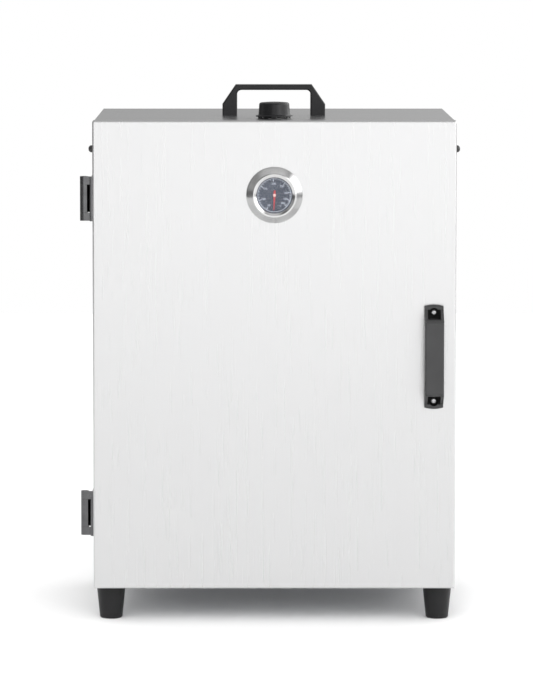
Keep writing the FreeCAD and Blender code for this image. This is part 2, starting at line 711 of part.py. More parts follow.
def heater_element():
    """A tubular element bent to an M, with both tails out through the rear panel."""
    z = HEATER_Z
    half = [(HEATER_TAIL_X, HEATER_TAIL_Y, z), (HEATER_TAIL_X, HEATER_REAR, z)]
    half += [(HEATER_OUTER_X, HEATER_REAR, z), (HEATER_OUTER_X, HEATER_FRONT, z)]
    half += [(HEATER_INNER_X, HEATER_FRONT, z), (HEATER_INNER_X, HEATER_INNER_REAR, z)]
    other = [(-x, y, z) for x, y, z in reversed(half)]
    return bent_rod(half + other, HEATER_BEND, HEATER_R)


def heater_flange():
    front = REAR_IN - FLANGE_THICK
    plate = box(-FLANGE_HALF_X, FLANGE_HALF_X, front, REAR_IN,
                HEATER_Z - FLANGE_HALF_Z, HEATER_Z + FLANGE_HALF_Z)
    plate = rounded(plate, FLANGE_CORNER_R, runs_along("y"))
    tails = [rod((x, front - PAST, HEATER_Z), (x, REAR_IN + PAST, HEATER_Z), HEATER_R)
             for x in (-HEATER_TAIL_X, HEATER_TAIL_X)]
    return cut(plate, tails)


def heater_support():
    """A folded strip that holds the element clear of the floor, screwed down through its foot."""
    top = HEATER_Z - HEATER_R
    half = SUPPORT_HALF
    wall = box(-half, half, SUPPORT_Y, SUPPORT_Y + STRIP, FLOOR_IN, top)
    toe = box(-half, half, SUPPORT_Y, SUPPORT_Y + SUPPORT_TOE, FLOOR_IN, FLOOR_IN + STRIP)
    low, high = FLOOR_IN - PAST, FLOOR_IN + STRIP + PAST
    holes = [rod((x, SUPPORT_SCREW_Y, low), (x, SUPPORT_SCREW_Y, high), SMALL_R)
             for x in (-SUPPORT_SCREW_X, SUPPORT_SCREW_X)]
    windows = [box(x - SUPPORT_WINDOW_HALF, x + SUPPORT_WINDOW_HALF,
                   SUPPORT_Y - PAST, SUPPORT_Y + STRIP + PAST,
                   FLOOR_IN + SUPPORT_WINDOW_LOW, top - SUPPORT_WINDOW_HIGH) for x in SUPPORT_WINDOWS]
    return cut(wall.fuse(toe).removeSplitter(), holes + windows)


def support_screws():
    return [screw((x, SUPPORT_SCREW_Y, FLOOR_IN + STRIP), Z_AXIS, SMALL_HEAD_R, SMALL_HEAD, SMALL_R,
                  SMALL_LENGTH) for x in (-SUPPORT_SCREW_X, SUPPORT_SCREW_X)]


# --- controls on the rear -----------------------------------------------------------------------
THERMOSTAT_X = -55.0
THERMOSTAT_DEPTH = 24.0
THERMOSTAT_HALF_X = 18.0
THERMOSTAT_HALF_Z = 16.0
THERMOSTAT_EDGE_R = 3.0
STEM_SOCKET_R = 3.1
STEM_SOCKET_DEPTH = 14.0
KNOB_STEM_R = 3.0
KNOB_STEM_TAIL = 14.0
KNOB_LIFT = 1.0
KNOB_PROFILE = [(0, 0), (17.0, 0), (17.0, 1.5), (15.0, 4.0), (14.0, 7.0), (0, 7.0)]
KNOB_GRIP = (3.5, 13.0)
KNOB_GRIP_Y = (6.0, 16.0)
KNOB_GRIP_R = 2.5
LAMP_R = 4.0
LAMP_PROFILE = [(0, -12), (3.9, -12), (3.9, 0), (5.2, 0), (5.2, 1.2), (3.4, 3.2), (0, 3.9)]
VENT_SLITS = 11
VENT_SLIT_PITCH = 12.0
VENT_SLIT_HALF = 1.2
VENT_SLIT_INSET = 12.0
SWITCH_X = -8.0
SWITCH_Z = 96.0
LAMP_Z = 130.0
INLET_X = 46.0
CAPILLARY_X = -58.0
CAPILLARY_Z = 112.0
CAPILLARY_R = 1.0
CAPILLARY_CLEARANCE = 1.0
CAPILLARY_BEND = 7.0
BULB_Z = 300.0
BULB_R = 3.0
BULB_HALF = 45.0
BULB_Y = REAR_IN - 8.0
TUBE_START = -40.0
CLIP_X = (-22.0, 22.0)
CLIP_HALF = 4.0
CLIP_THICK = 1.0
CLIP_TOE = 16.0
TERMINAL_X = (12.0, 72.0)
TERMINAL_Z = 134.0
TERMINAL_COUNT = 4
TERMINAL_DEPTH = 14.0
TERMINAL_HALF_Z = 9.0
TERMINAL_WELL = (8.0, 3.0)
TERMINAL_WIRE = (5.0, 1.6)
TERMINAL_GROOVE = (9.0, 0.8)
SWITCH_HALF_X = 6.5
SWITCH_HALF_Z = 9.5
INLET_HALF_X = 13.5
INLET_HALF_Z = 10.0
ROCKER_PIVOT = BOX_REAR - 1.0
ROCKER_TILT = 9.0
TRUNNION_R = 0.9
TRUNNION_X = 6.1
TRUNNION_RUNNING = 0.05
TRUNNION_END_GAP = 0.1
SWITCH_DEPTH = 20.0
SWITCH_BEZEL = (7.5, 10.5, 2.0, 1.0)
SWITCH_WELL = (5.2, 8.2, 9.0)
ROCKER_HALF_X = 4.9
ROCKER_OUTLINE = [(-7.3, -1.0), (-7.3, 3.4), (0, 2.2), (7.3, 3.4), (7.3, -1.0), (2.0, -4.0), (-2.0, -4.0)]
INLET_DEPTH = 20.0
INLET_BEZEL = (15.5, 12.0, 2.5, 2.0)
INLET_WELL = (12.1, 8.0, 17.0)
INLET_CHAMFER = 4.5
INLET_PINS = ((-7.0, -2.0), (7.0, -2.0), (0.0, 2.0))
PIN_HALF_X = 1.0
PIN_HALF_Z = 2.0
PIN_Y = (-19.0, -4.0)


def box_screw_spots():
    low, high = BOX_Z
    reach = BOX_HALF + EAR_SCREW_OUT
    return [(x, z) for x in (-reach, reach) for z in (low + EAR_INSET, high - EAR_INSET)]


def window(x, z, half_x, half_z, y0, y1):
    """A block centred on (x, z), used for openings in the panel and for what fills them."""
    return box(x - half_x, x + half_x, y0, y1, z - half_z, z + half_z)


def control_box():
    """A moulded housing over the heater tails, with ears at each side for its screws."""
    low, high = BOX_Z
    outer = box(-BOX_HALF, BOX_HALF, REAR_OUT, BOX_REAR, low, high)
    outer = rounded(outer, BOX_EDGE_R, lambda e: not lies_in(REAR_OUT, "y")(e))
    mouth = REAR_OUT - PAST
    inner = box(-BOX_HALF + BOX_WALL, BOX_HALF - BOX_WALL, mouth, BOX_REAR - BOX_WALL,
                low + BOX_WALL, high - BOX_WALL)
    inner = rounded(inner, BOX_EDGE_R - BOX_WALL, lambda e: not lies_in(mouth, "y")(e))
    shell = outer.cut(inner)
    ears = []
    for x, z in box_screw_spots():
        tip = math.copysign(BOX_HALF + EAR_REACH, x)
        x0, x1 = sorted((math.copysign(BOX_HALF - BOX_WALL / 2, x), tip))
        ear = box(x0, x1, REAR_OUT, REAR_OUT + EAR_THICK, z - EAR_HALF, z + EAR_HALF)
        ears.append(rounded(ear, EAR_EDGE_R, runs_along("y"), lies_in(tip, "x")))
    shell = fused([shell] + ears)
    near, far = BOX_REAR - BOX_WALL - PAST, BOX_REAR + PAST
    holes = [rod((x, REAR_OUT - PAST, z), (x, REAR_OUT + EAR_THICK + PAST, z), SMALL_R)
             for x, z in box_screw_spots()]
    holes.append(rod((THERMOSTAT_X, near, CONTROL_Z), (THERMOSTAT_X, far, CONTROL_Z), STEM_SOCKET_R))
    holes.append(rod((SWITCH_X, near, LAMP_Z), (SWITCH_X, far, LAMP_Z), LAMP_R))
    holes.append(window(SWITCH_X, SWITCH_Z, SWITCH_HALF_X, SWITCH_HALF_Z, near, far))
    holes.append(window(INLET_X, CONTROL_Z, INLET_HALF_X, INLET_HALF_Z, near, far))
    for k in range(VENT_SLITS):
        x = (k - (VENT_SLITS - 1) / 2) * VENT_SLIT_PITCH
        holes.append(box(x - VENT_SLIT_HALF, x + VENT_SLIT_HALF, REAR_OUT + VENT_SLIT_INSET,
                         BOX_REAR - VENT_SLIT_INSET, high - BOX_WALL - PAST, high + PAST))
    return cut(shell, holes)


def thermostat_body():
    """The thermostat's case behind the panel, with a socket for the knob's stem."""
    face = BOX_REAR - BOX_WALL
    case = window(THERMOSTAT_X, CONTROL_Z, THERMOSTAT_HALF_X, THERMOSTAT_HALF_Z,
                  face - THERMOSTAT_DEPTH, face)
    case = rounded(case, THERMOSTAT_EDGE_R, runs_along("y"))
    socket = rod((THERMOSTAT_X, face - STEM_SOCKET_DEPTH, CONTROL_Z),
                 (THERMOSTAT_X, face + PAST, CONTROL_Z), STEM_SOCKET_R)
    return case.cut(socket)


def thermostat_knob():
    """A round knob with a raised grip bar and a stem that runs into the thermostat."""
    start = BOX_REAR + KNOB_LIFT
    skirt = turned(KNOB_PROFILE, (THERMOSTAT_X, start, CONTROL_Z), Y_AXIS)
    grip = window(THERMOSTAT_X, CONTROL_Z, *KNOB_GRIP, start + KNOB_GRIP_Y[0], start + KNOB_GRIP_Y[1])
    grip = rounded(grip, KNOB_GRIP_R, runs_along("y"))
    stem = rod((THERMOSTAT_X, BOX_REAR - KNOB_STEM_TAIL, CONTROL_Z),
               (THERMOSTAT_X, start + PAST, CONTROL_Z), KNOB_STEM_R)
    return fused([skirt, grip, stem])


def thermostat_bulb():
    """The sensing bulb on the rear wall of the chamber and the capillary down to the thermostat."""
    bulb = rod((-BULB_HALF, BULB_Y, BULB_Z), (BULB_HALF, BULB_Y, BULB_Z), BULB_R)
    points = [(TUBE_START, BULB_Y, BULB_Z), (CAPILLARY_X, BULB_Y, BULB_Z)]
    points += [(CAPILLARY_X, BULB_Y, CAPILLARY_Z)]
    points += [(CAPILLARY_X, BOX_REAR - BOX_WALL - THERMOSTAT_DEPTH, CAPILLARY_Z)]
    return fused([bulb, bent_rod(points, CAPILLARY_BEND, CAPILLARY_R)])


def bulb_clips():
    """Two bent strips that hold the bulb off the rear wall."""
    clips = []
    for x in CLIP_X:
        x0, x1 = x - CLIP_HALF, x + CLIP_HALF
        ring = rod((x0, BULB_Y, BULB_Z), (x1, BULB_Y, BULB_Z), BULB_R + CLIP_THICK)
        leg = box(x0, x1, BULB_Y, REAR_IN, BULB_Z - CLIP_THICK, BULB_Z)
        toe = box(x0, x1, REAR_IN - CLIP_THICK, REAR_IN, BULB_Z - CLIP_TOE, BULB_Z)
        hold = rod((x0 - PAST, BULB_Y, BULB_Z), (x1 + PAST, BULB_Y, BULB_Z), BULB_R)
        clips.append(fused([ring, leg, toe]).cut(hold))
    return Part.makeCompound(clips)


def terminal_block():
    """A moulded strip of four screw terminals on the rear panel, above the heater's tails."""
    x0, x1 = TERMINAL_X
    low, high = TERMINAL_Z - TERMINAL_HALF_Z, TERMINAL_Z + TERMINAL_HALF_Z
    block = box(x0, x1, REAR_OUT, REAR_OUT + TERMINAL_DEPTH, low, high)
    pitch = (x1 - x0) / TERMINAL_COUNT
    past = REAR_OUT + TERMINAL_DEPTH + PAST
    well, well_r = TERMINAL_WELL
    wire, wire_r = TERMINAL_WIRE
    groove, groove_half = TERMINAL_GROOVE
    tools = []
    for k in range(TERMINAL_COUNT):
        x = x0 + pitch * (k + 0.5)
        tools.append(rod((x, REAR_OUT + well, TERMINAL_Z), (x, past, TERMINAL_Z), well_r))
        tools.append(rod((x, REAR_OUT + wire, low - PAST), (x, REAR_OUT + wire, high + PAST), wire_r))
    for k in range(1, TERMINAL_COUNT):
        x = x0 + pitch * k
        tools.append(box(x - groove_half, x + groove_half, REAR_OUT + groove, past, low - PAST, high + PAST))
    return cut(block, tools)


def indicator_lamp():
    return turned(LAMP_PROFILE, (SWITCH_X, BOX_REAR, LAMP_Z), Y_AXIS)


def switch_frame():
    """The rocker switch's case and bezel, with a well that the rocker tips in."""
    half_x, half_z, lift, edge_r = SWITCH_BEZEL
    face = BOX_REAR + lift
    case = window(SWITCH_X, SWITCH_Z, SWITCH_HALF_X, SWITCH_HALF_Z, BOX_REAR - SWITCH_DEPTH, BOX_REAR)
    bezel = window(SWITCH_X, SWITCH_Z, half_x, half_z, BOX_REAR, face)
    bezel = rounded(bezel, edge_r, lies_in(face, "y"))
    well_x, well_z, depth = SWITCH_WELL
    well = window(SWITCH_X, SWITCH_Z, well_x, well_z, BOX_REAR - depth, face + PAST)
    reach = TRUNNION_X + TRUNNION_END_GAP
    pivot = rod((SWITCH_X - reach, ROCKER_PIVOT, SWITCH_Z), (SWITCH_X + reach, ROCKER_PIVOT, SWITCH_Z),
                TRUNNION_R + TRUNNION_RUNNING)
    return cut(case.fuse(bezel).removeSplitter(), [well, pivot])


def switch_rocker():
    """A rocker on trunnions across the well, in its off position."""
    pivot = ROCKER_PIVOT
    points = [(SWITCH_X - ROCKER_HALF_X, pivot + y, SWITCH_Z + z) for z, y in ROCKER_OUTLINE]
    trunnions = rod((SWITCH_X - TRUNNION_X, pivot, SWITCH_Z), (SWITCH_X + TRUNNION_X, pivot, SWITCH_Z),
                    TRUNNION_R)
    rocker = fused([prism(points, (2 * ROCKER_HALF_X, 0, 0)), trunnions])
    rocker.rotate(Vector(SWITCH_X, pivot, SWITCH_Z), X_AXIS, ROCKER_TILT)
    return rocker


def inlet_socket():
    """The appliance inlet: a recessed socket with three flat pins, for a detachable lead."""
    half_x, half_z, lift, edge_r = INLET_BEZEL
    face = BOX_REAR + lift
    case = window(INLET_X, CONTROL_Z, INLET_HALF_X, INLET_HALF_Z, BOX_REAR - INLET_DEPTH, BOX_REAR)
    bezel = window(INLET_X, CONTROL_Z, half_x, half_z, BOX_REAR, face)
    bezel = rounded(bezel, edge_r, runs_along("y"))
    well_x, well_z, depth = INLET_WELL
    well = window(INLET_X, CONTROL_Z, well_x, well_z, BOX_REAR - depth, face + PAST)
    low_edges = edges_where(well, lambda e: runs_along("y")(e) and lies_in(CONTROL_Z - well_z, "z")(e))
    well = well.makeChamfer(INLET_CHAMFER, low_edges)
    y0, y1 = (BOX_REAR + y for y in PIN_Y)
    pins = [window(INLET_X + dx, CONTROL_Z + dz, PIN_HALF_X, PIN_HALF_Z, y0, y1) for dx, dz in INLET_PINS]
    return fused([case.fuse(bezel).cut(well)] + pins)


def case_screws():
    """The small screws that hold the rear panel, the control box and the heater's support."""
    seats = [(x, REAR_OUT + EAR_THICK, z) for x, z in box_screw_spots()]
    seats += [(x, CAB_REAR, z) for x in (-REAR_SCREW_X, REAR_SCREW_X) for z in rear_screw_heights()]
    pieces = [screw(seat, Y_AXIS, SMALL_HEAD_R, SMALL_HEAD, SMALL_R, SMALL_LENGTH) for seat in seats]
    return Part.makeCompound(pieces + support_screws())


# --- hinges -------------------------------------------------------------------------------------
def sloping_link(wall_x, near, far):
    """Corners of a web from the barrel to the plate, on a line that touches the barrel."""
    plate_x = wall_x - HINGE_PLATE
    link_near = near + math.copysign(HINGE_LINK_INSET, far - near)
    link_far = near + (far - near) * HINGE_LINK_SHARE
    side = math.copysign(1.0, far - HINGE_Y)
    towards = math.atan2(link_far - HINGE_Y, plate_x - HINGE_X)
    reach = math.hypot(link_far - HINGE_Y, plate_x - HINGE_X)
    angle = towards + side * math.acos(HINGE_BARREL_R / reach)
    tangent = (HINGE_X + HINGE_BARREL_R * math.cos(angle), HINGE_Y + HINGE_BARREL_R * math.sin(angle))
    points = [(HINGE_X, HINGE_Y), tangent, (plate_x, link_far), (plate_x + PAST, link_far)]
    return points + [(plate_x + PAST, link_near), (plate_x, link_near)]


def straight_link(wall_x, near, far):
    """Corners of a web whose front face is flat, from the front of the barrel to the plate."""
    plate_x = wall_x - HINGE_PLATE
    link_near = near + math.copysign(HINGE_LINK_LIP, far - near)
    front = HINGE_Y - HINGE_BARREL_R
    points = [(HINGE_X, HINGE_Y), (HINGE_X, front), (plate_x + PAST, front)]
    return points + [(plate_x + PAST, link_near), (plate_x, link_near)]


def hinge_leaf(z, wall_x, y_range, spans, link, bore_r, screw_y, dz):
    """A plate on the wall and the knuckles it carries, for the hinge centred on z."""
    low, high = z - HINGE_HEIGHT / 2, z + HINGE_HEIGHT / 2
    plate = box(wall_x - HINGE_PLATE, wall_x, y_range[0], y_range[1], low, high)
    plate = rounded(plate, HINGE_EDGE_R, lies_in(wall_x - HINGE_PLATE, "x"), runs_along("z"))
    pieces = [plate]
    near, far = sorted(y_range, key=lambda y: abs(y - HINGE_Y))
    for z0, z1 in spans:
        pieces.append(rod((HINGE_X, HINGE_Y, z0), (HINGE_X, HINGE_Y, z1), HINGE_BARREL_R))
        corners = [(x, y, z0) for x, y in link(wall_x, near, far)]
        pieces.append(prism(corners, (0, 0, z1 - z0)))
    leaf = fused(pieces)
    tools = [rod((HINGE_X, HINGE_Y, low - PAST), (HINGE_X, HINGE_Y, high + PAST), bore_r)]
    for step in (-dz, dz):
        face = (wall_x - HINGE_PLATE, screw_y, z + step)
        tools.append(flat_screw_hole(face, -X_AXIS, HINGE_HEAD_R, HINGE_SINK, HINGE_SCREW_R,
                                     HINGE_PLATE + PAST))
    return cut(leaf, tools)


def cabinet_leaf(z):
    """The leaf on the cabinet's side, with one middle knuckle that grips the pin and a flat nose."""
    half = HINGE_HEIGHT / 2 - HINGE_ARM - KNUCKLE_GAP
    leaf = hinge_leaf(z, -HALF, CABINET_LEAF_Y, [(z - half, z + half)], sloping_link, HINGE_PIN_R,
                      CABINET_SCREW_Y, CABINET_SCREW_DZ)
    nose = box(HINGE_X, HINGE_X + HINGE_NOSE, HINGE_Y - HINGE_BARREL_R, HINGE_Y, z - half, z + half)
    pin = rod((HINGE_X, HINGE_Y, z - half - PAST), (HINGE_X, HINGE_Y, z + half + PAST), HINGE_PIN_R)
    return leaf.fuse(nose.cut(pin)).removeSplitter()


def door_leaf(z):
    """The forked leaf on the door, with a knuckle above and a knuckle below."""
    half = HINGE_HEIGHT / 2
    spans = [(z - half, z - half + HINGE_ARM), (z + half - HINGE_ARM, z + half)]
    bore_r = HINGE_PIN_R + HINGE_RUNNING
    return hinge_leaf(z, -DOOR_HALF, DOOR_LEAF_Y, spans, straight_link, bore_r,
                      DOOR_SCREW_Y, DOOR_SCREW_DZ)


def hinge_pins():
    half = HINGE_HEIGHT / 2 - PIN_INSET
    return Part.makeCompound([rod((HINGE_X, HINGE_Y, z - half), (HINGE_X, HINGE_Y, z + half), HINGE_PIN_R)
                              for z in HINGE_Z])


def hinge_screws(wall_x, y, dz):
    """The screws through both leaves of a kind into the wall behind."""
    length = HINGE_PLATE + HINGE_SCREW_GRIP
    head_x = wall_x - HINGE_PLATE
    seats = [(head_x, *spot) for spot in hinge_screw_spots(y, dz)]
    return Part.makeCompound([flat_screw(seat, -X_AXIS, HINGE_HEAD_R, HINGE_SINK, HINGE_SCREW_R, length)
                              for seat in seats])


# --- magnetic catches ---------------------------------------------------------------------------
CATCH_Z = (644.0, 90.0)
CATCH_X = (206.0, 220.0)
CATCH_HALF = 23.0
CATCH_FACE = DOOR_BACK + 1.5
CATCH_DEPTH = 14.0
STRIKE_THICK = 1.2
STRIKE_CORNER_R = 3.0
CATCH_EDGE_R = 1.2
BRACKET_HALF = 20.0
BRACKET_THICK = 1.5
BRACKET_FOOT = 10.0


def magnet_catches():
    pieces = []
    for z in CATCH_Z:
        body = box(*CATCH_X, CATCH_FACE, CATCH_FACE + CATCH_DEPTH, z - CATCH_HALF, z + CATCH_HALF)
        pieces.append(rounded(body, CATCH_EDGE_R, lies_in(CATCH_FACE, "y")))
    return Part.makeCompound(pieces)


def catch_brackets():
    """Angle brackets from the right wall to the back of each catch."""
    pieces = []
    y0 = CATCH_FACE + CATCH_DEPTH
    for z in CATCH_Z:
        low, high = z - BRACKET_HALF, z + BRACKET_HALF
        arm = box(CATCH_X[0], INNER, y0, y0 + BRACKET_THICK, low, high)
        foot_plate = box(INNER - BRACKET_THICK, INNER, y0 - BRACKET_FOOT, y0 + BRACKET_THICK, low, high)
        pieces.append(arm.fuse(foot_plate).removeSplitter())
    return Part.makeCompound(pieces)


def strike_plates():
    pieces = []
    for z in CATCH_Z:
        plate = box(*CATCH_X, DOOR_BACK, DOOR_BACK + STRIKE_THICK, z - BRACKET_HALF, z + BRACKET_HALF)
        pieces.append(rounded(plate, STRIKE_CORNER_R, runs_along("y")))
    return Part.makeCompound(pieces)


# --- door ---------------------------------------------------------------------------------------
GAUGE_Z = TOP - 100.0
GAUGE_BUSH_R = 6.0
PULL_X = DOOR_HALF - 30.0
PULL_Z = BASE + HEIGHT / 2 - 0.9
PULL_SPACING = 120.0
PULL_SCREW_R = 2.0
FIELD_HALF = 201.0
FIELD_MARGIN = 38.0
FIELD_RISE = 4.0
FIELD_CORNER_R = 8.0
FIELD_EDGE_R = 2.5
LINER_DEPTH = 10.0


def pull_screw_heights():
    return [PULL_Z - PULL_SPACING / 2, PULL_Z + PULL_SPACING / 2]


def door_skin():
    """The outer pan: a front face folded back on all four sides."""
    outer = box(-DOOR_HALF, DOOR_HALF, DOOR_FRONT, DOOR_BACK, BASE, TOP)
    outer = rounded(outer, DOOR_EDGE_R, lambda e: not lies_in(DOOR_BACK, "y")(e))
    mouth = DOOR_BACK + PAST
    inner = box(-DOOR_INNER, DOOR_INNER, DOOR_FRONT + SHEET, mouth, BASE + SHEET, TOP - SHEET)
    inner = rounded(inner, DOOR_EDGE_R - SHEET, lambda e: not lies_in(mouth, "y")(e))
    near, far = DOOR_FRONT - PAST, DOOR_FRONT + SHEET + PAST
    holes = [rod((0, near, GAUGE_Z), (0, far, GAUGE_Z), GAUGE_BUSH_R)]
    for z in pull_screw_heights():
        holes.append(rod((PULL_X, near, z), (PULL_X, far, z), PULL_SCREW_R))
    for y, z in hinge_screw_spots(DOOR_SCREW_Y, DOOR_SCREW_DZ):
        holes.append(rod((-DOOR_HALF - PAST, y, z), (-DOOR_INNER + PAST, y, z), HINGE_SCREW_R))
    return cut(outer.cut(inner), holes)


def door_liner():
    """The inner pan: it closes the back of the door, with a raised field inside the gasket."""
    low, high = BASE + SHEET, TOP - SHEET
    mouth = DOOR_BACK - LINER_DEPTH
    outer = box(-DOOR_INNER, DOOR_INNER, mouth, DOOR_BACK, low, high)
    outer = rounded(outer, DOOR_EDGE_R - SHEET, runs_along("y"))
    field_low, field_high = BASE + FIELD_MARGIN, TOP - FIELD_MARGIN
    face = DOOR_BACK + FIELD_RISE
    field = box(-FIELD_HALF, FIELD_HALF, DOOR_BACK - SHEET, face, field_low, field_high)
    field = rounded(field, FIELD_CORNER_R, runs_along("y"))
    field = rounded(field, FIELD_EDGE_R, lies_in(face, "y"))
    inner = box(-DOOR_INNER + SHEET, DOOR_INNER - SHEET, mouth - PAST, DOOR_BACK - SHEET,
                low + SHEET, high - SHEET)
    hollow = box(-FIELD_HALF + SHEET, FIELD_HALF - SHEET, DOOR_BACK - SHEET - PAST, face - SHEET,
                 field_low + SHEET, field_high - SHEET)
    hollow = rounded(hollow, FIELD_CORNER_R - SHEET, runs_along("y"))
    bush = rod((0, mouth - PAST, GAUGE_Z), (0, face + PAST, GAUGE_Z), GAUGE_BUSH_R)
    screws = [rod((-DOOR_HALF, y, z), (-DOOR_INNER + SHEET + PAST, y, z), HINGE_SCREW_R)
              for y, z in hinge_screw_spots(DOOR_SCREW_Y, DOOR_SCREW_DZ)]
    return cut(outer.fuse(field).removeSplitter(), [inner, hollow, bush] + screws)


GASKET_INSET = 3.5
GASKET_WIDTH = 10.0
GASKET_CLEAR = 0.3
GASKET_CORNER_R = 8.0
GASKET_INNER_R = 4.0
GASKET_EDGE_R = 1.2


def door_gasket():
    """A flat seal on the door's back, opposite the cabinet's front frame."""
    y1 = CAB_FRONT - GASKET_CLEAR

    def slab(inset, y_low, y_high):
        return box(-HALF + inset, HALF - inset, y_low, y_high, BASE + inset, TOP - inset)

    outer = rounded(slab(GASKET_INSET, DOOR_BACK, y1), GASKET_CORNER_R, runs_along("y"))
    inner = slab(GASKET_INSET + GASKET_WIDTH, DOOR_BACK - PAST, y1 + PAST)
    inner = rounded(inner, GASKET_INNER_R, runs_along("y"))
    return rounded(outer.cut(inner), GASKET_EDGE_R, lies_in(y1, "y"))


# --- thermometer --------------------------------------------------------------------------------
BEZEL_R = 38.0
WINDOW_R = 24.3
CASE_R = 26.0
CASE_DEPTH = 8.2
STEM_R = 3.0
STEM_LENGTH = 86.0
POINTER_REACH = 20.0
POINTER_TAIL = 6.5
ARBOR_R = 0.8
ARBOR_RUNNING = 0.05
ARBOR_LENGTH = 30.0
CUP_WALL = 1.0
CUP_FIT = 0.05
BEZEL_OUTSIDE = [(BEZEL_R - 0.4, 0.2), (BEZEL_R, 0.7), (BEZEL_R - 0.3, 1.6), (30.4, 9.8)]
BEZEL_CREST = [(29.6, 10.7), (28.6, 11.2), (27.6, 11.1)]
BEZEL_SLOPE = [(24.9, 9.5), (WINDOW_R, 9.0), (WINDOW_R, CASE_DEPTH)]
BEZEL_INSIDE = [(25.4, CASE_DEPTH), (27.9, 9.9), (28.7, 9.9), (29.4, 9.3), (36.6, 1.5), (36.6, 0.2)]
DIAL_HEIGHT = (3.0, 3.6)
GLASS_UNDER = 6.8
TUBE_BORE_R = 1.4
TUBE_END = 4.0
TUBE_TIP = 2.0
BUSH_TAIL = 9.0
BUSH_HEAD_R = 9.5
BUSH_HEAD = 2.8
GAUGE_WASHER_R = 11.0
GAUGE_WASHER = 1.2
GAUGE_NUT_FLATS = 17.0
GAUGE_NUT = 4.5
NEEDLE_HEIGHT = (4.4, 4.9)
NEEDLE_HALF = (0.45, 1.2, 1.5, 1.1)
NEEDLE_NECK = 4.0
HUB_PROFILE = [(0, 4.2), (2.2, 4.2), (2.2, 5.4), (1.6, 5.9), (0, 5.9)]
ROOM_ANGLE = 2.5


def on_gauge(profile):
    """Turns a profile about the gauge's axis, with height measured out from the door's face."""
    return turned(profile, (0, DOOR_FRONT, GAUGE_Z), -Y_AXIS)


def thermo_bezel():
    """A spun ring: a wide cone up from the door, a rolled crest and a slope down to the glass."""
    return on_gauge(BEZEL_OUTSIDE + BEZEL_CREST + BEZEL_SLOPE + BEZEL_INSIDE)


def thermo_case():
    """The gauge's cup, closed at the back except for the stem."""
    bore = GAUGE_BUSH_R
    inside = CASE_R - CUP_WALL
    profile = [(bore, 0), (CASE_R, 0), (CASE_R, CASE_DEPTH), (inside, CASE_DEPTH)]
    return on_gauge(profile + [(inside, CUP_WALL), (bore, CUP_WALL)])


def thermo_dial():
    hole = ARBOR_R + ARBOR_RUNNING
    edge = CASE_R - CUP_WALL - CUP_FIT
    low, high = DIAL_HEIGHT
    return on_gauge([(hole, low), (edge, low), (edge, high), (hole, high)])


def thermo_glass():
    edge = CASE_R - CUP_WALL - CUP_FIT
    return on_gauge([(0, GLASS_UNDER), (edge, GLASS_UNDER), (edge, CASE_DEPTH), (0, CASE_DEPTH)])


def thermo_stem():
    """The threaded bush through the door and the probe tube that reaches into the chamber."""
    back = -(DOOR_DEPTH + FIELD_RISE + BUSH_TAIL)
    profile = [(TUBE_BORE_R, BUSH_HEAD), (BUSH_HEAD_R, BUSH_HEAD), (BUSH_HEAD_R, CUP_WALL)]
    profile += [(GAUGE_BUSH_R, CUP_WALL), (GAUGE_BUSH_R, back), (STEM_R, back)]
    profile += [(STEM_R, TUBE_TIP - STEM_LENGTH), (STEM_R - TUBE_BORE_R, -STEM_LENGTH), (0, -STEM_LENGTH)]
    return on_gauge(profile + [(0, TUBE_END - STEM_LENGTH), (TUBE_BORE_R, TUBE_END - STEM_LENGTH)])


def thermo_nut():
    face = DOOR_BACK + FIELD_RISE
    seat = face + GAUGE_WASHER
    washer = rod((0, face, GAUGE_Z), (0, seat, GAUGE_Z), GAUGE_WASHER_R)
    nut = hexagon((0, seat, GAUGE_Z), Y_AXIS, GAUGE_NUT_FLATS, GAUGE_NUT)
    bush = rod((0, face - PAST, GAUGE_Z), (0, seat + GAUGE_NUT + PAST, GAUGE_Z), GAUGE_BUSH_R)
    return Part.makeCompound([washer.cut(bush), nut.cut(bush)])


def thermo_pointer():
    """The needle, at room temperature: a little clockwise of straight down, on a thin arbor."""
    low, high = NEEDLE_HEIGHT
    tip, neck, middle, tail = NEEDLE_HALF
    side = [(tip, -POINTER_REACH), (neck, -NEEDLE_NECK), (middle, 0), (tail, POINTER_TAIL)]
    outline = side + [(-x, z) for x, z in reversed(side)]
    points = [(x, DOOR_FRONT - high, GAUGE_Z + z) for x, z in outline]
    needle = prism(points, (0, high - low, 0))
    arbor = on_gauge([(0, -ARBOR_LENGTH), (ARBOR_R, -ARBOR_LENGTH), (ARBOR_R, low), (0, low)])
    pointer = fused([needle, on_gauge(HUB_PROFILE), arbor])
    pointer.rotate(Vector(0, DOOR_FRONT, GAUGE_Z), Y_AXIS, ROOM_ANGLE)
    return pointer


# --- door handle --------------------------------------------------------------------------------
PULL_LENGTH = 141.0
PULL_WIDTH = 25.4
PULL_RISE = 30.0
PULL_GRIP = 8.0
PULL_FOOT = 8.0
PULL_GRIP_HALF = 50.8
PULL_LEG = 8.0
PULL_SEAT = 2.0
PULL_RAMP = 64.5
PULL_RECESS = 8.8
PULL_END_R = 42.0
PULL_HEAD_R = 3.7
POCKET_R = 6.7
PULL_HEAD = 2.7
PULL_FOOT_EDGE = (3.0, 1.5)
PULL_GRIP_EDGE = 3.0
PULL_EDGE_R = 1.8
PULL_GAP_R = 9.0
PULL_RECESS_IN = 0.8
PULL_SCREW_ON = 6.0
PULL_WASHER_R = 5.0
PULL_WASHER = 1.0
PULL_NUT_FLATS = 7.0
PULL_NUT = 3.2


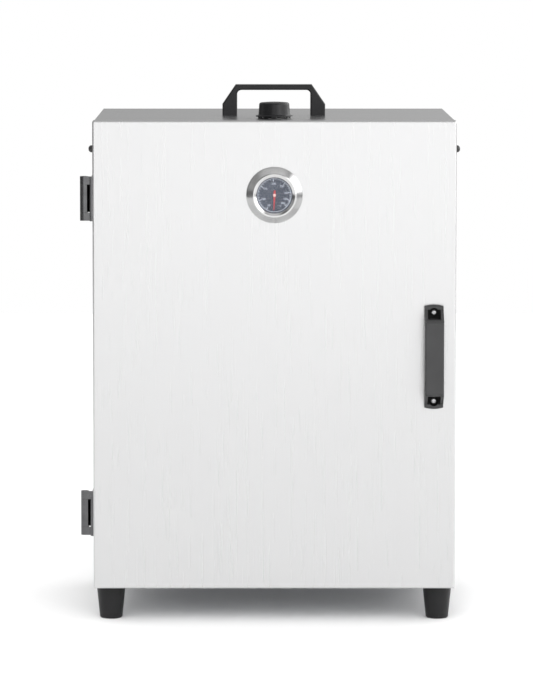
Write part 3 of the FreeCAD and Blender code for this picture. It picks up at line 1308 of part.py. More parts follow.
def handle_plan():
    """The handle's outline seen from the front: straight sides and gently bowed ends."""
    half = PULL_LENGTH / 2
    h0, h1 = DOOR_FRONT - PULL_RISE - PAST, DOOR_FRONT + PAST
    low = rod((0, h0, PULL_END_R - half), (0, h1, PULL_END_R - half), PULL_END_R)
    high = rod((0, h0, half - PULL_END_R), (0, h1, half - PULL_END_R), PULL_END_R)
    below = box(-PULL_WIDTH, PULL_WIDTH, h0, h1, -half, 0)
    above = box(-PULL_WIDTH, PULL_WIDTH, h0, h1, 0, half)
    return fused([low.common(below), high.common(above)])


def door_handle():
    """A moulded pull: two feet with screw pockets, ramped side rails and a raised flat grip."""
    half = PULL_LENGTH / 2
    grip = PULL_GRIP_HALF
    face = DOOR_FRONT - PULL_RISE
    run, drop = PULL_FOOT_EDGE
    edge = PULL_GRIP_EDGE
    outline = [(-half, 0), (-half, PULL_FOOT - drop), (-half + run, PULL_FOOT), (-PULL_RAMP, PULL_FOOT)]
    outline += [(-grip, PULL_RISE - edge), (-grip + edge, PULL_RISE)]
    outline += [(-z, h) for z, h in reversed(outline)]
    block = prism([(-PULL_WIDTH / 2, DOOR_FRONT - h, z) for z, h in outline], (PULL_WIDTH, 0, 0))
    inner = grip - PULL_LEG
    gap = box(-PULL_WIDTH, PULL_WIDTH, face + PULL_GRIP, DOOR_FRONT + PAST, -inner, inner)
    gap = rounded(gap, PULL_GAP_R, runs_along("x"), lies_in(face + PULL_GRIP, "y"))
    handle = block.common(handle_plan()).cut(gap).removeSplitter()
    long_edges = edges_where(handle, lambda e: runs_along("z")(e)
                             and min(v.Point.y for v in e.Vertexes) < face + PAST)
    handle = handle.makeFillet(PULL_EDGE_R, long_edges)
    tools = []
    for side in (-1, 1):
        z = side * PULL_SPACING / 2
        z0, z1 = sorted((side * PULL_RAMP, side * (grip + PULL_RECESS_IN)))
        tools.append(box(-PULL_RECESS, PULL_RECESS, face - PAST, DOOR_FRONT - PULL_FOOT, z0, z1))
        tools.append(rod((0, DOOR_FRONT - PULL_SEAT, z), (0, face, z), POCKET_R))
        tools.append(rod((0, DOOR_FRONT + PAST, z), (0, DOOR_FRONT - PULL_FOOT, z), PULL_SCREW_R))
    handle = cut(handle, tools)
    handle.translate(Vector(PULL_X, 0, PULL_Z))
    return handle


def door_handle_screws():
    """Screws from the front, each with a washer and nut inside the door."""
    pieces = []
    inside = DOOR_FRONT + SHEET
    nut_seat = inside + PULL_WASHER
    length = PULL_SEAT + SHEET + PULL_SCREW_ON
    for z in pull_screw_heights():
        seat = (PULL_X, DOOR_FRONT - PULL_SEAT, z)
        bolt = screw(seat, -Y_AXIS, PULL_HEAD_R, PULL_HEAD, PULL_SCREW_R, length)
        core = rod((PULL_X, inside - PAST, z), (PULL_X, nut_seat + PULL_NUT + PAST, z), PULL_SCREW_R)
        washer = rod((PULL_X, inside, z), (PULL_X, nut_seat, z), PULL_WASHER_R)
        nut = hexagon((PULL_X, nut_seat, z), Y_AXIS, PULL_NUT_FLATS, PULL_NUT)
        pieces += [bolt, washer.cut(core), nut.cut(core)]
    return Part.makeCompound(pieces)


# --- everything ---------------------------------------------------------------------------------
def main():
    os.makedirs("parts", exist_ok=True)
    for old in os.listdir("parts"):
        os.remove(os.path.join("parts", old))

    save("left_side_panel", left_side_panel())
    save("right_side_panel", mirrored(side_panel()))
    save("top_panel", top_panel())
    save("rear_panel", rear_panel())
    save("base_panel", base_panel())

    for x, side in ((-FOOT_X, "left"), (FOOT_X, "right")):
        for y, end in zip(FOOT_Y, ("front", "rear")):
            save(f"foot_{end}_{side}", foot(x, y))
    save("machine_screws", machine_screws())

    save("carry_handle", carry_handle())

    save("vent_collar", vent_collar())
    save("vent_knob", vent_knob())
    save("damper_disc", damper_disc())
    save("vent_spindle", vent_spindle())

    save("ladder_posts", ladder_posts())
    save("ladder_rungs", ladder_rungs())
    save("ladder_studs", ladder_studs())

    one_grid = grid()
    for k in range(GRID_COUNT):
        rung = rung_z(GRID_FIRST_RUNG + 2 * k)
        placed = one_grid.copy()
        placed.translate(Vector(0, 0, rung + RUNG_R + GRID_ROD_R + REST_GAP))
        save(f"grid_{k + 1}", placed)
    save("water_pan", water_pan())
    save("chip_tray", chip_tray())

    save("heater_element", heater_element())
    save("heater_flange", heater_flange())
    save("heater_support", heater_support())

    save("control_box", control_box())
    save("thermostat_body", thermostat_body())
    save("thermostat_knob", thermostat_knob())
    save("thermostat_bulb", thermostat_bulb())
    save("indicator_lamp", indicator_lamp())
    save("switch_frame", switch_frame())
    save("switch_rocker", switch_rocker())
    save("inlet_socket", inlet_socket())
    save("terminal_block", terminal_block())
    save("bulb_clips", bulb_clips())
    save("case_screws", case_screws())

    for z, place in zip(HINGE_Z, ("upper", "lower")):
        save(f"hinge_{place}_cabinet_leaf", cabinet_leaf(z))
        save(f"hinge_{place}_door_leaf", door_leaf(z))
    save("hinge_pins", hinge_pins())
    save("hinge_cabinet_screws", hinge_screws(-HALF, CABINET_SCREW_Y, CABINET_SCREW_DZ))
    save("hinge_door_screws", hinge_screws(-DOOR_HALF, DOOR_SCREW_Y, DOOR_SCREW_DZ))

    save("magnet_catches", magnet_catches())
    save("catch_brackets", catch_brackets())
    save("strike_plates", strike_plates())

    save("door_skin", door_skin())
    save("door_liner", door_liner())
    save("door_gasket", door_gasket())

    save("thermo_bezel", thermo_bezel())
    save("thermo_case", thermo_case())
    save("thermo_dial", thermo_dial())
    save("thermo_glass", thermo_glass())
    save("thermo_stem", thermo_stem())
    save("thermo_nut", thermo_nut())
    save("thermo_pointer", thermo_pointer())

    save("door_handle", door_handle())
    save("door_handle_screws", door_handle_screws())


main()
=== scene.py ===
import json
import math

import bpy
from mathutils import Matrix, Vector


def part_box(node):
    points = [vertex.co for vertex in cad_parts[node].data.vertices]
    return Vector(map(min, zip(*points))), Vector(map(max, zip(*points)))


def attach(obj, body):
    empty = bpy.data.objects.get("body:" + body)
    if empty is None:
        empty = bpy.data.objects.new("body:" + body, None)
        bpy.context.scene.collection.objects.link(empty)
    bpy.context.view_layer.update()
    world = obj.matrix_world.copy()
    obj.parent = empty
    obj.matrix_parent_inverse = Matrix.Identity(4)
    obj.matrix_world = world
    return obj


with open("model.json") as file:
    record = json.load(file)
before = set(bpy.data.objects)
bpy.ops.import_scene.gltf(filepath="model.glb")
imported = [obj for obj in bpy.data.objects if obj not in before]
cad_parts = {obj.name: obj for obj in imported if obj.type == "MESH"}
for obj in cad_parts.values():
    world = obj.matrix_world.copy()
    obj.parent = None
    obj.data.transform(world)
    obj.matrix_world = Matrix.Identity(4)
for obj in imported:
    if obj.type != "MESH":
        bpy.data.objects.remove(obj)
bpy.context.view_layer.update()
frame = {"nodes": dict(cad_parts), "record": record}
cad = frame["nodes"]
slot_of = {part["node"]: part["material_slot"] for part in frame["record"]["subparts"]}
scene = bpy.context.scene


# --- node helpers -------------------------------------------------------------------------------
class Shader:
    """A material under construction, with its Principled shader and node shortcuts."""

    def __init__(self, name, metallic, roughness, **constants):
        self.material = bpy.data.materials.new(name)
        self.material.use_nodes = True
        self.tree = self.material.node_tree
        self.surface = self.tree.nodes["Principled BSDF"]
        self.surface.inputs["Metallic"].default_value = metallic
        self.surface.inputs["Roughness"].default_value = roughness
        for key, value in constants.items():
            self.surface.inputs[key.replace("_", " ")].default_value = value
        self.coordinates = self.tree.nodes.new("ShaderNodeTexCoord").outputs["Object"]

    def noise(self, scale, detail=2.0, stretch=(1, 1, 1), offset=(0, 0, 0), distortion=0.0):
        mapping = self.tree.nodes.new("ShaderNodeMapping")
        mapping.inputs["Scale"].default_value = [scale * s for s in stretch]
        mapping.inputs["Location"].default_value = offset
        self.tree.links.new(self.coordinates, mapping.inputs["Vector"])
        texture = self.tree.nodes.new("ShaderNodeTexNoise")
        texture.inputs["Scale"].default_value = 1.0
        texture.inputs["Detail"].default_value = detail
        texture.inputs["Distortion"].default_value = distortion
        self.tree.links.new(mapping.outputs["Vector"], texture.inputs["Vector"])
        return texture.outputs["Fac"]

    def ramp(self, value, stops):
        node = self.tree.nodes.new("ShaderNodeValToRGB")
        elements = node.color_ramp.elements
        while len(elements) < len(stops):
            elements.new(0.5)
        for element, (place, colour) in zip(elements, stops):
            element.position = place
            element.color = (*colour, 1.0)
        self.tree.links.new(value, node.inputs["Fac"])
        return node.outputs["Color"]

    def spread(self, value, low, high, source=(0.3, 0.7)):
        node = self.tree.nodes.new("ShaderNodeMapRange")
        node.inputs["From Min"].default_value = source[0]
        node.inputs["From Max"].default_value = source[1]
        node.inputs["To Min"].default_value = low
        node.inputs["To Max"].default_value = high
        self.tree.links.new(value, node.inputs["Value"])
        return node.outputs["Result"]

    def math(self, operation, first, second):
        node = self.tree.nodes.new("ShaderNodeMath")
        node.operation = operation
        for socket, value in zip(node.inputs, (first, second)):
            if isinstance(value, (int, float)):
                socket.default_value = value
            else:
                self.tree.links.new(value, socket)
        return node.outputs["Value"]

    def colour(self, value):
        self.tree.links.new(value, self.surface.inputs["Base Color"])
        return self

    def rough(self, value):
        self.tree.links.new(value, self.surface.inputs["Roughness"])
        return self

    def bump(self, height, distance, strength=1.0):
        node = self.tree.nodes.new("ShaderNodeBump")
        node.inputs["Strength"].default_value = strength
        node.inputs["Distance"].default_value = distance
        self.tree.links.new(height, node.inputs["Height"])
        self.tree.links.new(node.outputs["Normal"], self.surface.inputs["Normal"])
        return self


def shade(colour, factor):
    return [min(1.0, c * factor) for c in colour]


ALONG = {"x": (0.012, 1, 1), "y": (1, 0.012, 1), "z": (1, 1, 0.012)}


def brushed(name, colour, roughness, along, contrast=0.035, grain=0.00003, patchy=0.04):
    """Sheet metal with a brushed grain along one axis, slow unevenness and fine scratches."""
    made = Shader(name, 1.0, roughness)
    stretch = ALONG[along]
    coarse = made.noise(240, 2, stretch)
    fine = made.noise(1100, 3, stretch, offset=(3.1, 1.7, 5.3))
    cloud = made.noise(7, 2, offset=(8.3, 2.9, 4.4))
    streak = made.math("ADD", made.math("MULTIPLY", coarse, 0.5), made.math("MULTIPLY", fine, 0.5))
    tone = made.math("ADD", made.math("MULTIPLY", streak, 0.8), made.math("MULTIPLY", cloud, 0.2))
    dark, light = shade(colour, 1 - contrast), shade(colour, 1 + contrast)
    made.colour(made.ramp(tone, [(0.3, dark), (0.7, light)]))
    made.rough(made.spread(streak, roughness - patchy, roughness + patchy))
    return made.bump(streak, grain).material


def moulded(name, colour, roughness, grain=0.00006, **constants):
    """Plastic or rubber with a fine moulded grain and slight unevenness."""
    made = Shader(name, 0.0, roughness, **constants)
    pores = made.noise(1500, 2)
    cloud = made.noise(30, 3, offset=(4.1, 7.7, 1.3))
    made.colour(made.ramp(cloud, [(0.3, shade(colour, 0.86)), (0.7, shade(colour, 1.16))]))
    made.rough(made.spread(pores, roughness - 0.05, roughness + 0.07))
    return made.bump(pores, grain).material


def plated(name, colour, roughness, scale=60, contrast=0.06, grain=0.00002):
    """Plain or plated metal with cloudy variation and light marks."""
    made = Shader(name, 1.0, roughness)
    cloud = made.noise(scale, 3)
    marks = made.noise(scale * 14, 2, offset=(2.3, 5.9, 0.7))
    dark, light = shade(colour, 1 - contrast), shade(colour, 1 + contrast)
    made.colour(made.ramp(cloud, [(0.3, dark), (0.7, light)]))
    made.rough(made.spread(marks, roughness * 0.8, roughness * 1.25))
    return made.bump(marks, grain).material


def painted(name, colour, roughness, grain=0.00004, **constants):
    """Coated metal with a slight orange-peel surface."""
    made = Shader(name, 0.0, roughness, **constants)
    peel = made.noise(700, 2)
    cloud = made.noise(40, 2, offset=(6.1, 0.9, 3.3))
    made.colour(made.ramp(cloud, [(0.3, shade(colour, 0.9)), (0.7, shade(colour, 1.1))]))
    made.rough(made.spread(peel, roughness - 0.04, roughness + 0.05))
    return made.bump(peel, grain).material


# --- materials, one or more for each slot -------------------------------------------------------
def glass(name):
    made = Shader(name, 0.0, 0.04, IOR=1.5)
    haze = made.noise(90, 2)
    made.colour(made.ramp(haze, [(0.3, (0.30, 0.34, 0.40)), (0.7, (0.36, 0.40, 0.46))]))
    made.rough(made.spread(haze, 0.03, 0.06))
    made.tree.links.new(made.spread(haze, 0.05, 0.07), made.surface.inputs["Alpha"])
    return made.material


def lens(name):
    made = Shader(name, 0.0, 0.15, Coat_Weight=0.5)
    cloud = made.noise(200, 2)
    made.colour(made.ramp(cloud, [(0.3, (0.45, 0.012, 0.01)), (0.7, (0.62, 0.03, 0.02))]))
    made.rough(made.spread(cloud, 0.1, 0.2))
    return made.material


def oxidised(name):
    """The heater's sheath: dull, with straw and blue-grey heat tints."""
    made = Shader(name, 1.0, 0.5)
    patches = made.noise(25, 3)
    marks = made.noise(500, 2, offset=(1.9, 4.4, 6.2))
    tints = [(0.35, (0.10, 0.09, 0.10)), (0.5, (0.20, 0.17, 0.15)), (0.65, (0.13, 0.13, 0.17))]
    made.colour(made.ramp(patches, tints))
    made.rough(made.spread(marks, 0.42, 0.6))
    return made.bump(marks, 0.00005).material


def spun(name, colour, roughness, centre):
    """Polished metal with fine rings about a horizontal axis through centre."""
    made = Shader(name, 1.0, roughness)
    shift = made.tree.nodes.new("ShaderNodeVectorMath")
    shift.operation = "SUBTRACT"
    made.tree.links.new(made.coordinates, shift.inputs[0])
    shift.inputs[1].default_value = centre
    flat = made.tree.nodes.new("ShaderNodeVectorMath")
    flat.operation = "MULTIPLY"
    made.tree.links.new(shift.outputs[0], flat.inputs[0])
    flat.inputs[1].default_value = (1, 0, 1)
    length = made.tree.nodes.new("ShaderNodeVectorMath")
    length.operation = "LENGTH"
    made.tree.links.new(flat.outputs[0], length.inputs[0])
    rings = made.tree.nodes.new("ShaderNodeTexNoise")
    rings.noise_dimensions = "1D"
    rings.inputs["Scale"].default_value = 1600
    made.tree.links.new(length.outputs["Value"], rings.inputs["W"])
    ring = rings.outputs["Fac"]
    cloud = made.noise(60, 2)
    made.colour(made.ramp(cloud, [(0.3, shade(colour, 0.96)), (0.7, shade(colour, 1.04))]))
    made.rough(made.spread(ring, roughness - 0.03, roughness + 0.05))
    return made.bump(ring, 0.00001).material


gauge_low, gauge_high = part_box("thermo_bezel")
gauge = (gauge_low + gauge_high) / 2

STEEL = (0.585, 0.585, 0.587)
finishes = {
    "stainless": brushed("stainless_vertical", STEEL, 0.28, "z", 0.006, 0.000002, 0.012),
    "stainless_inside": brushed("stainless_inside", (0.62, 0.62, 0.63), 0.28, "z", 0.05),
    "galvanised": plated("galvanised", (0.52, 0.53, 0.55), 0.42, 45, 0.12),
    "black_plastic": moulded("black_plastic", (0.006, 0.006, 0.0066), 0.30, Specular_IOR_Level=0.28),
    "grey_plastic": moulded("grey_plastic", (0.021, 0.021, 0.0217), 0.42),
    "hinge_grey": plated("hinge_grey", (0.118, 0.118, 0.121), 0.22, 90, 0.1, 0.00003),
    "steel_fasteners": plated("steel_fasteners", (0.44, 0.44, 0.45), 0.25, 300),
    "black_fasteners": painted("black_fasteners", (0.02, 0.02, 0.02), 0.35),
    "chrome_wire": plated("chrome_wire", (0.74, 0.74, 0.76), 0.14, 80),
    "bezel_steel": spun("bezel_steel", (0.60, 0.60, 0.60), 0.18, gauge),
    "dial_face": painted("dial_face", (0.024, 0.028, 0.043), 0.5),
    "glass": glass("glass"),
    "red_paint": painted("red_paint", (0.40, 0.018, 0.018), 0.45),
    "seal": moulded("seal", (0.03, 0.03, 0.03), 0.7),
    "heater_sheath": oxidised("heater_sheath"),
    "brass": plated("brass", (0.68, 0.45, 0.18), 0.25, 120),
    "red_lens": lens("red_lens"),
}
special = {"top_panel": brushed("stainless_across", (0.60, 0.60, 0.602), 0.24, "x", 0.035, 0.000012)}
for foot in (name for name in cad if name.startswith("foot_")):
    special[foot] = moulded("foot_plastic", (0.009, 0.009, 0.0094), 0.40, Specular_IOR_Level=0.25)
white_ink = painted("white_ink", (0.46, 0.48, 0.53), 0.5)
# Pale pink for the pointer's hub cap: a painted highlight, not the cap's own colour.
hub_highlight_paint = painted("hub_cap", (0.70, 0.42, 0.38), 0.3)
# Matt black darker than the handle's plastic: painted shade for the screw pockets and the floor beside them.
pocket_shade_black = painted("pocket_shade_black", (0.004, 0.004, 0.004), 0.6, Specular_IOR_Level=0.12)


# --- smooth shading on the CAD nodes ------------------------------------------------------------
SHARP_ANGLE = 32


def soften(obj):
    mesh = obj.data
    mesh.shade_smooth()
    mesh.set_sharp_from_angle(angle=math.radians(SHARP_ANGLE))


for name, obj in cad.items():
    obj.data.materials.clear()
    obj.data.materials.append(special.get(name, finishes[slot_of[name]]))
    soften(obj)


# --- the dial's scale ---------------------------------------------------------------------------
def mesh_object(name, vertices, faces, material):
    mesh = bpy.data.meshes.new(name)
    mesh.from_pydata(vertices, [], faces)
    mesh.update()
    obj = bpy.data.objects.new(name, mesh)
    scene.collection.objects.link(obj)
    mesh.materials.append(material)
    return obj


def lettering(text, size, centre, turn, normal_to, material, name, thick=0.00012):
    """Raised text centred on a point, facing along normal_to, as a mesh."""
    curve = bpy.data.curves.new(name, "FONT")
    curve.body = text
    curve.size = size
    curve.align_x = "CENTER"
    curve.align_y = "CENTER"
    curve.extrude = thick / 2
    curve.resolution_u = 3
    loose = bpy.data.objects.new(name + "_curve", curve)
    scene.collection.objects.link(loose)
    bpy.context.view_layer.update()
    mesh = bpy.data.meshes.new_from_object(loose.evaluated_get(bpy.context.evaluated_depsgraph_get()))
    bpy.data.objects.remove(loose)
    facing = Vector(normal_to).to_track_quat("Z", "Y").to_matrix().to_4x4()
    mesh.transform(Matrix.Translation(centre) @ facing @ Matrix.Rotation(turn, 4, "Z"))
    mesh.materials.clear()
    mesh.materials.append(material)
    obj = bpy.data.objects.new(name, mesh)
    scene.collection.objects.link(obj)
    return obj


def joined(objects, name):
    """One object from several meshes that share a material."""
    vertices = []
    faces = []
    for obj in objects:
        start = len(vertices)
        vertices += [obj.matrix_world @ v.co for v in obj.data.vertices]
        faces += [[start + i for i in p.vertices] for p in obj.data.polygons]
    material = objects[0].data.materials[0]
    for obj in objects:
        bpy.data.objects.remove(obj)
    return mesh_object(name, vertices, faces, material)


FRONT = (0, -1, 0)
REAR = (0, 1, 0)
INK = 0.0001
INK_MIDDLE = 0.00006
SCALE_MARKS = {50: 29, 100: 71, 150: 124, 200: 175.5, 250: 220, 300: 259.5, 350: 289, 400: 313}
STEPS_BETWEEN = 5
LONG_TICK = (0.0036, 0.0009)
SHORT_TICK = (0.0019, 0.0005)
LAST_TICK = (0.0038, 0.0010)
SCALE_OUTER = 0.0221
SCALE_RIM = 0.0227
RING_SIDES = 120
NUMBER_RADIUS = 0.0156
NUMBER_SIZE = 0.0040
UNIT_ANGLE = 333
UNIT_RADIUS = 0.0165
UNIT_SIZE = 0.0036


def on_dial(angle, radius, y):
    """A point on the dial, with the angle clockwise from straight down, in degrees."""
    a = math.radians(angle)
    return Vector((gauge.x - radius * math.sin(a), y, gauge.z - radius * math.cos(a)))


def flat_bar(a, b, width, thick, towards):
    """Corners and faces of a thin bar from a to b that stands off towards a direction."""
    run = (b - a).normalized()
    side = run.cross(Vector(towards)).normalized() * width / 2
    up = Vector(towards) * thick
    corners = [a - side, a + side, b + side, b - side]
    vertices = corners + [c + up for c in corners]
    faces = [(0, 1, 2, 3), (4, 7, 6, 5), (0, 4, 5, 1), (1, 5, 6, 2), (2, 6, 7, 3), (3, 7, 4, 0)]
    return vertices, faces


def dial_scale():
    dial_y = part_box("thermo_dial")[0].y
    pieces = []
    values = sorted(SCALE_MARKS)
    ticks = []
    for low, high in zip(values, values[1:]):
        for k in range(STEPS_BETWEEN):
            angle = SCALE_MARKS[low] + (SCALE_MARKS[high] - SCALE_MARKS[low]) * k / STEPS_BETWEEN
            ticks.append((angle, *(LONG_TICK if k == 0 else SHORT_TICK)))
    ticks.append((SCALE_MARKS[values[-1]], *LAST_TICK))
    for angle, length, width in ticks:
        inner_end = on_dial(angle, SCALE_OUTER - length, dial_y)
        outer_end = on_dial(angle, SCALE_OUTER, dial_y)
        pieces.append(mesh_object("tick", *flat_bar(inner_end, outer_end, width, INK, FRONT), white_ink))
    face_y = dial_y - INK
    section = ((SCALE_OUTER, dial_y), (SCALE_RIM, dial_y), (SCALE_RIM, face_y), (SCALE_OUTER, face_y))
    ring = []
    for k in range(RING_SIDES):
        for radius, y in section:
            ring.append(on_dial(k * 3, radius, y))
    faces = []
    for k in range(RING_SIDES):
        after = (k + 1) % RING_SIDES
        for j in range(4):
            a, b = 4 * k + j, 4 * k + (j + 1) % 4
            c, d = 4 * after + (j + 1) % 4, 4 * after + j
            faces.append((a, b, c, d))
    pieces.append(mesh_object("ring", ring, faces, white_ink))
    for value, angle in SCALE_MARKS.items():
        centre = on_dial(angle, NUMBER_RADIUS, dial_y - INK_MIDDLE)
        pieces.append(lettering(str(value), NUMBER_SIZE, centre, 0.0, FRONT, white_ink, "number"))
    centre = on_dial(UNIT_ANGLE, UNIT_RADIUS, dial_y - INK_MIDDLE)
    pieces.append(lettering("°C", UNIT_SIZE, centre, 0.0, FRONT, white_ink, "unit"))
    scale = joined(pieces, "dial_scale")
    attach(scale, "door")


dial_scale()


CAP_RINGS = ((0.0021, 0.0000), (0.0019, -0.0004), (0.0013, -0.0007), (0.0006, -0.00085))
CAP_TIP = 0.0009
CAP_SIDES = 32


def hub_cap():
    """A small domed cap on the pointer's hub, coloured pale pink as a painted highlight."""
    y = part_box("thermo_pointer")[0].y
    vertices = []
    for radius, rise in CAP_RINGS:
        for k in range(CAP_SIDES):
            a = 2 * math.pi * k / CAP_SIDES
            vertices.append((gauge.x + radius * math.cos(a), y + rise, gauge.z + radius * math.sin(a)))
    vertices.append((gauge.x, y - CAP_TIP, gauge.z))
    faces = []
    for j in range(len(CAP_RINGS) - 1):
        for k in range(CAP_SIDES):
            m = (k + 1) % CAP_SIDES
            here, above = j * CAP_SIDES, (j + 1) * CAP_SIDES
            faces.append((here + k, here + m, above + m, above + k))
    top = (len(CAP_RINGS) - 1) * CAP_SIDES
    faces += [(top + k, top + (k + 1) % CAP_SIDES, len(vertices) - 1) for k in range(CAP_SIDES)]
    faces.append(tuple(reversed(range(CAP_SIDES))))
    cap = mesh_object("hub_cap", vertices, faces, hub_highlight_paint)
    cap.data.shade_smooth()
    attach(cap, "pointer")


hub_cap()


# --- painted shade: a black sheet in the handle's screw pockets and beside them -----------------
POCKET_SPACING_HALF = 0.060
POCKET_FLOOR = 0.0020
POCKET_RIM = 0.0080
SHADE_SHEET_THICKNESS = 0.00015
POCKET_WALL = 0.0066
SCREW_HOLE = 0.0041
POCKET_HALF_WIDTH = 0.0086
POCKET_OUTWARD = 0.0043
POCKET_INWARD = 0.0081
POCKET_SIDES = 64
TINY = 1e-6


def pocket_lining():
    """Painted shade: thin matt black cups under the handle's screws and a black floor beside each of them,
    darker than the handle's plastic; the ring under each screw head also stands for a black washer.
    """
    low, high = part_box("door_handle")
    centre_x = (low.x + high.x) / 2
    middle_z = (low.z + high.z) / 2
    door_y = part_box("door_skin")[0].y
    bottom = door_y - POCKET_FLOOR - SHADE_SHEET_THICKNESS
    rim = door_y - POCKET_RIM - SHADE_SHEET_THICKNESS
    vertices = []
    faces = []
    for end in (-1, 1):
        spot_z = middle_z + end * POCKET_SPACING_HALF
        start = len(vertices)
        for k in range(POCKET_SIDES):
            a = 2 * math.pi * k / POCKET_SIDES
            c, s = math.cos(a), math.sin(a)
            across = POCKET_HALF_WIDTH / abs(c) if abs(c) > TINY else 1.0
            span = POCKET_OUTWARD if s * end > 0 else POCKET_INWARD
            along = span / abs(s) if abs(s) > TINY else 1.0
            reach = max(POCKET_WALL, min(across, along))
            section = ((SCREW_HOLE, bottom), (POCKET_WALL, bottom), (POCKET_WALL, rim), (reach, rim))
            for radius, y in section:
                vertices.append((centre_x + radius * c, y, spot_z + radius * s))
        for k in range(POCKET_SIDES):
            m = (k + 1) % POCKET_SIDES
            for j in range(3):
                a, b = start + 4 * k + j, start + 4 * m + j
                if j == 2 and (Vector(vertices[a]) - Vector(vertices[a + 1])).length < TINY:
                    if (Vector(vertices[b]) - Vector(vertices[b + 1])).length < TINY:
                        continue
                faces.append((a, b, b + 1, a + 1))
    # The black sheet paints the shade in and beside the pockets.
    shade_sheet = mesh_object("pocket_lining", vertices, faces, pocket_shade_black)
    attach(shade_sheet, "door")


pocket_lining()


# --- marks on the controls at the rear ----------------------------------------------------------
MARK_COUNT = 28
MARK_START = -135
MARK_STEP = 10
WORD_STEP = 54
MARK_INNER = 0.0190
MARK_SHORT = 0.0212
MARK_LONG = 0.0225
MARK_WIDTH = 0.0005
WORD_RADIUS = 0.0262
WORD_SIZE = 0.0044


def control_marks():
    face_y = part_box("control_box")[1].y
    low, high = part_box("thermostat_knob")
    centre = (low + high) / 2
    pieces = []
    for k in range(MARK_COUNT):
        a = math.radians(MARK_START + MARK_STEP * k)
        inner, outer = MARK_INNER, MARK_SHORT if k % 3 else MARK_LONG
        start = Vector((centre.x - inner * math.sin(a), face_y, centre.z + inner * math.cos(a)))
        end = Vector((centre.x - outer * math.sin(a), face_y, centre.z + outer * math.cos(a)))
        pieces.append(mesh_object("mark", *flat_bar(start, end, MARK_WIDTH, INK, REAR), white_ink))
    for k, word in enumerate(("0", "50", "100", "150", "200", "250")):
        a = math.radians(MARK_START + WORD_STEP * k)
        across, up = WORD_RADIUS * math.sin(a), WORD_RADIUS * math.cos(a)
        spot = Vector((centre.x - across, face_y + INK_MIDDLE, centre.z + up))
        pieces.append(lettering(word, WORD_SIZE, spot, 0.0, REAR, white_ink, "word"))
    marks = joined(pieces, "thermostat_marks")
    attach(marks, "cabinet")


control_marks()


# --- floor --------------------------------------------------------------------------------------
FLOOR_HALF = 4.0


def floor():
    shape = [(sx * FLOOR_HALF, sy * FLOOR_HALF, 0) for sx, sy in ((-1, -1), (1, -1), (1, 1), (-1, 1))]
    made = Shader("floor", 0.0, 0.9)
    cloud = made.noise(1.5, 2)
    made.colour(made.ramp(cloud, [(0.3, (0.82, 0.82, 0.82)), (0.7, (0.84, 0.84, 0.84))]))
    plane = mesh_object("floor", shape, [(0, 1, 2, 3)], made.material)


floor()


# --- world: what shiny surfaces mirror. Bright in front and at the right, dimmer behind and left ---
FRONT_LEVEL = 2.30
REAR_LEVEL = 0.58
ABOVE_LEVEL = 1.1
RIGHT_LEVEL = 3.8
LEFT_LEVEL = 0.50
UPPER_LEFT_LEVEL = 0.55
LEAST_LEVEL = 0.05


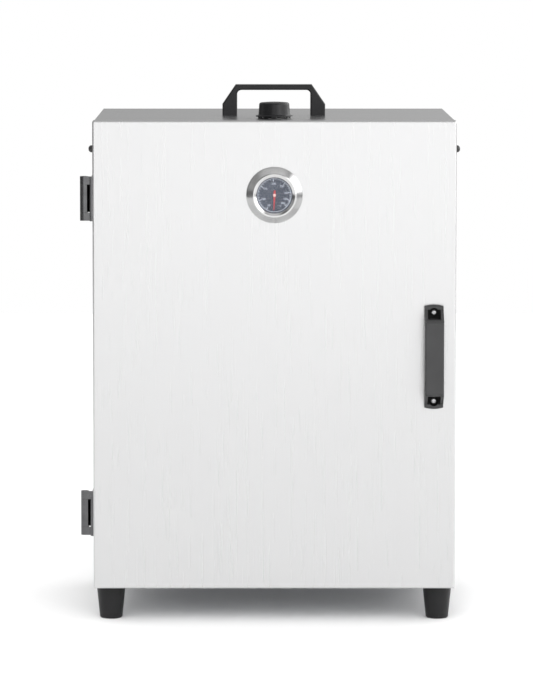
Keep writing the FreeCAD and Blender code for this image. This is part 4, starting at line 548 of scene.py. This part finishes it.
def studio():
    world = bpy.data.worlds.new("studio")
    scene.world = world
    world.cycles_visibility.diffuse = False
    world.use_nodes = True
    tree = world.node_tree
    tree.nodes.clear()
    link = tree.links.new
    split = tree.nodes.new("ShaderNodeSeparateXYZ")
    link(tree.nodes.new("ShaderNodeTexCoord").outputs["Generated"], split.inputs[0])

    def between(source, start, end, low, high):
        node = tree.nodes.new("ShaderNodeMapRange")
        node.interpolation_type = "SMOOTHSTEP"
        for key, value in (("From Min", start), ("From Max", end), ("To Min", low), ("To Max", high)):
            node.inputs[key].default_value = value
        link(source, node.inputs["Value"])
        return node.outputs["Result"]

    def combine(operation, first, second):
        node = tree.nodes.new("ShaderNodeMath")
        node.operation = operation
        for socket, value in zip(node.inputs, (first, second)):
            if isinstance(value, float):
                socket.default_value = value
            else:
                link(value, socket)
        return node.outputs["Value"]

    x, y, z = split.outputs
    front = combine("MULTIPLY", between(y, -0.90, -0.20, FRONT_LEVEL, 0.0), between(x, -0.45, -0.05, 0.10, 1.0))
    front = combine("MULTIPLY", front, between(z, 0.10, 0.22, 1.0, 0.35))
    rear = combine("MULTIPLY", between(y, -0.30, 0.40, 0.0, REAR_LEVEL), between(x, -0.25, 0.25, 0.75, 1.25))
    rear = combine("MULTIPLY", rear, between(x, -0.80, -0.40, 0.10, 1.0))
    above = combine("MULTIPLY", between(z, 0.70, 0.92, 0.0, ABOVE_LEVEL), between(y, -0.5, 0.5, 1.0, 0.4))
    right = combine("MULTIPLY", between(x, 0.35, 0.60, 0.0, RIGHT_LEVEL), between(z, -0.02, 0.08, 0.0, 1.0))
    right = combine("MULTIPLY", right, between(z, 0.62, 0.78, 1.0, 0.0))
    left = combine("MULTIPLY", between(x, -0.97, -0.88, LEFT_LEVEL, 0.0), between(y, -0.2, 0.05, 0.1, 1.0))
    upper_left = between(x, -0.70, -0.40, UPPER_LEFT_LEVEL, 0.0)
    upper_left = combine("MULTIPLY", upper_left, between(z, 0.02, 0.20, 0.0, 1.0))
    left = combine("ADD", left, upper_left)
    total = combine("ADD", combine("ADD", front, rear), combine("ADD", above, right))
    total = combine("MAXIMUM", combine("ADD", total, left), LEAST_LEVEL)

    lighting = tree.nodes.new("ShaderNodeBackground")
    link(total, lighting.inputs["Strength"])
    backdrop = tree.nodes.new("ShaderNodeBackground")
    backdrop.inputs["Color"].default_value = (1, 1, 1, 1)
    backdrop.inputs["Strength"].default_value = 1.0
    mix = tree.nodes.new("ShaderNodeMixShader")
    link(tree.nodes.new("ShaderNodeLightPath").outputs["Is Camera Ray"], mix.inputs["Fac"])
    link(lighting.outputs[0], mix.inputs[1])
    link(backdrop.outputs[0], mix.inputs[2])
    out = tree.nodes.new("ShaderNodeOutputWorld")
    link(mix.outputs[0], out.inputs["Surface"])


studio()


def soft_light(name, energy, spread, tilt, turn):
    """A broad lamp far away: tilt is down from overhead towards the front, turn is to the right."""
    data = bpy.data.lights.new(name, "SUN")
    data.energy = energy
    data.angle = math.radians(spread)
    lamp = bpy.data.objects.new(name, data)
    lamp.rotation_euler = (math.radians(tilt), 0, math.radians(turn))
    lamp.visible_glossy = False
    scene.collection.objects.link(lamp)


soft_light("overhead", 3.2, 140, 0, 0)
soft_light("front", 3.6, 60, 66, 0)

# --- camera -------------------------------------------------------------------------------------
LENS = 195.73
SHIFT = (0.0245, -0.16)
CAMERA_SPOT = (-0.0338, -5.282, 0.9388)
CAMERA_DOWN = 4.632

lens_data = bpy.data.cameras.new("camera")
lens_data.lens = LENS
lens_data.sensor_width = 36.0
lens_data.sensor_fit = "AUTO"
lens_data.shift_x, lens_data.shift_y = SHIFT
camera = bpy.data.objects.new("camera", lens_data)
camera.location = CAMERA_SPOT
camera.rotation_euler = (math.radians(90 - CAMERA_DOWN), 0, 0)
scene.collection.objects.link(camera)
scene.camera = camera
scene.view_settings.view_transform = "Standard"
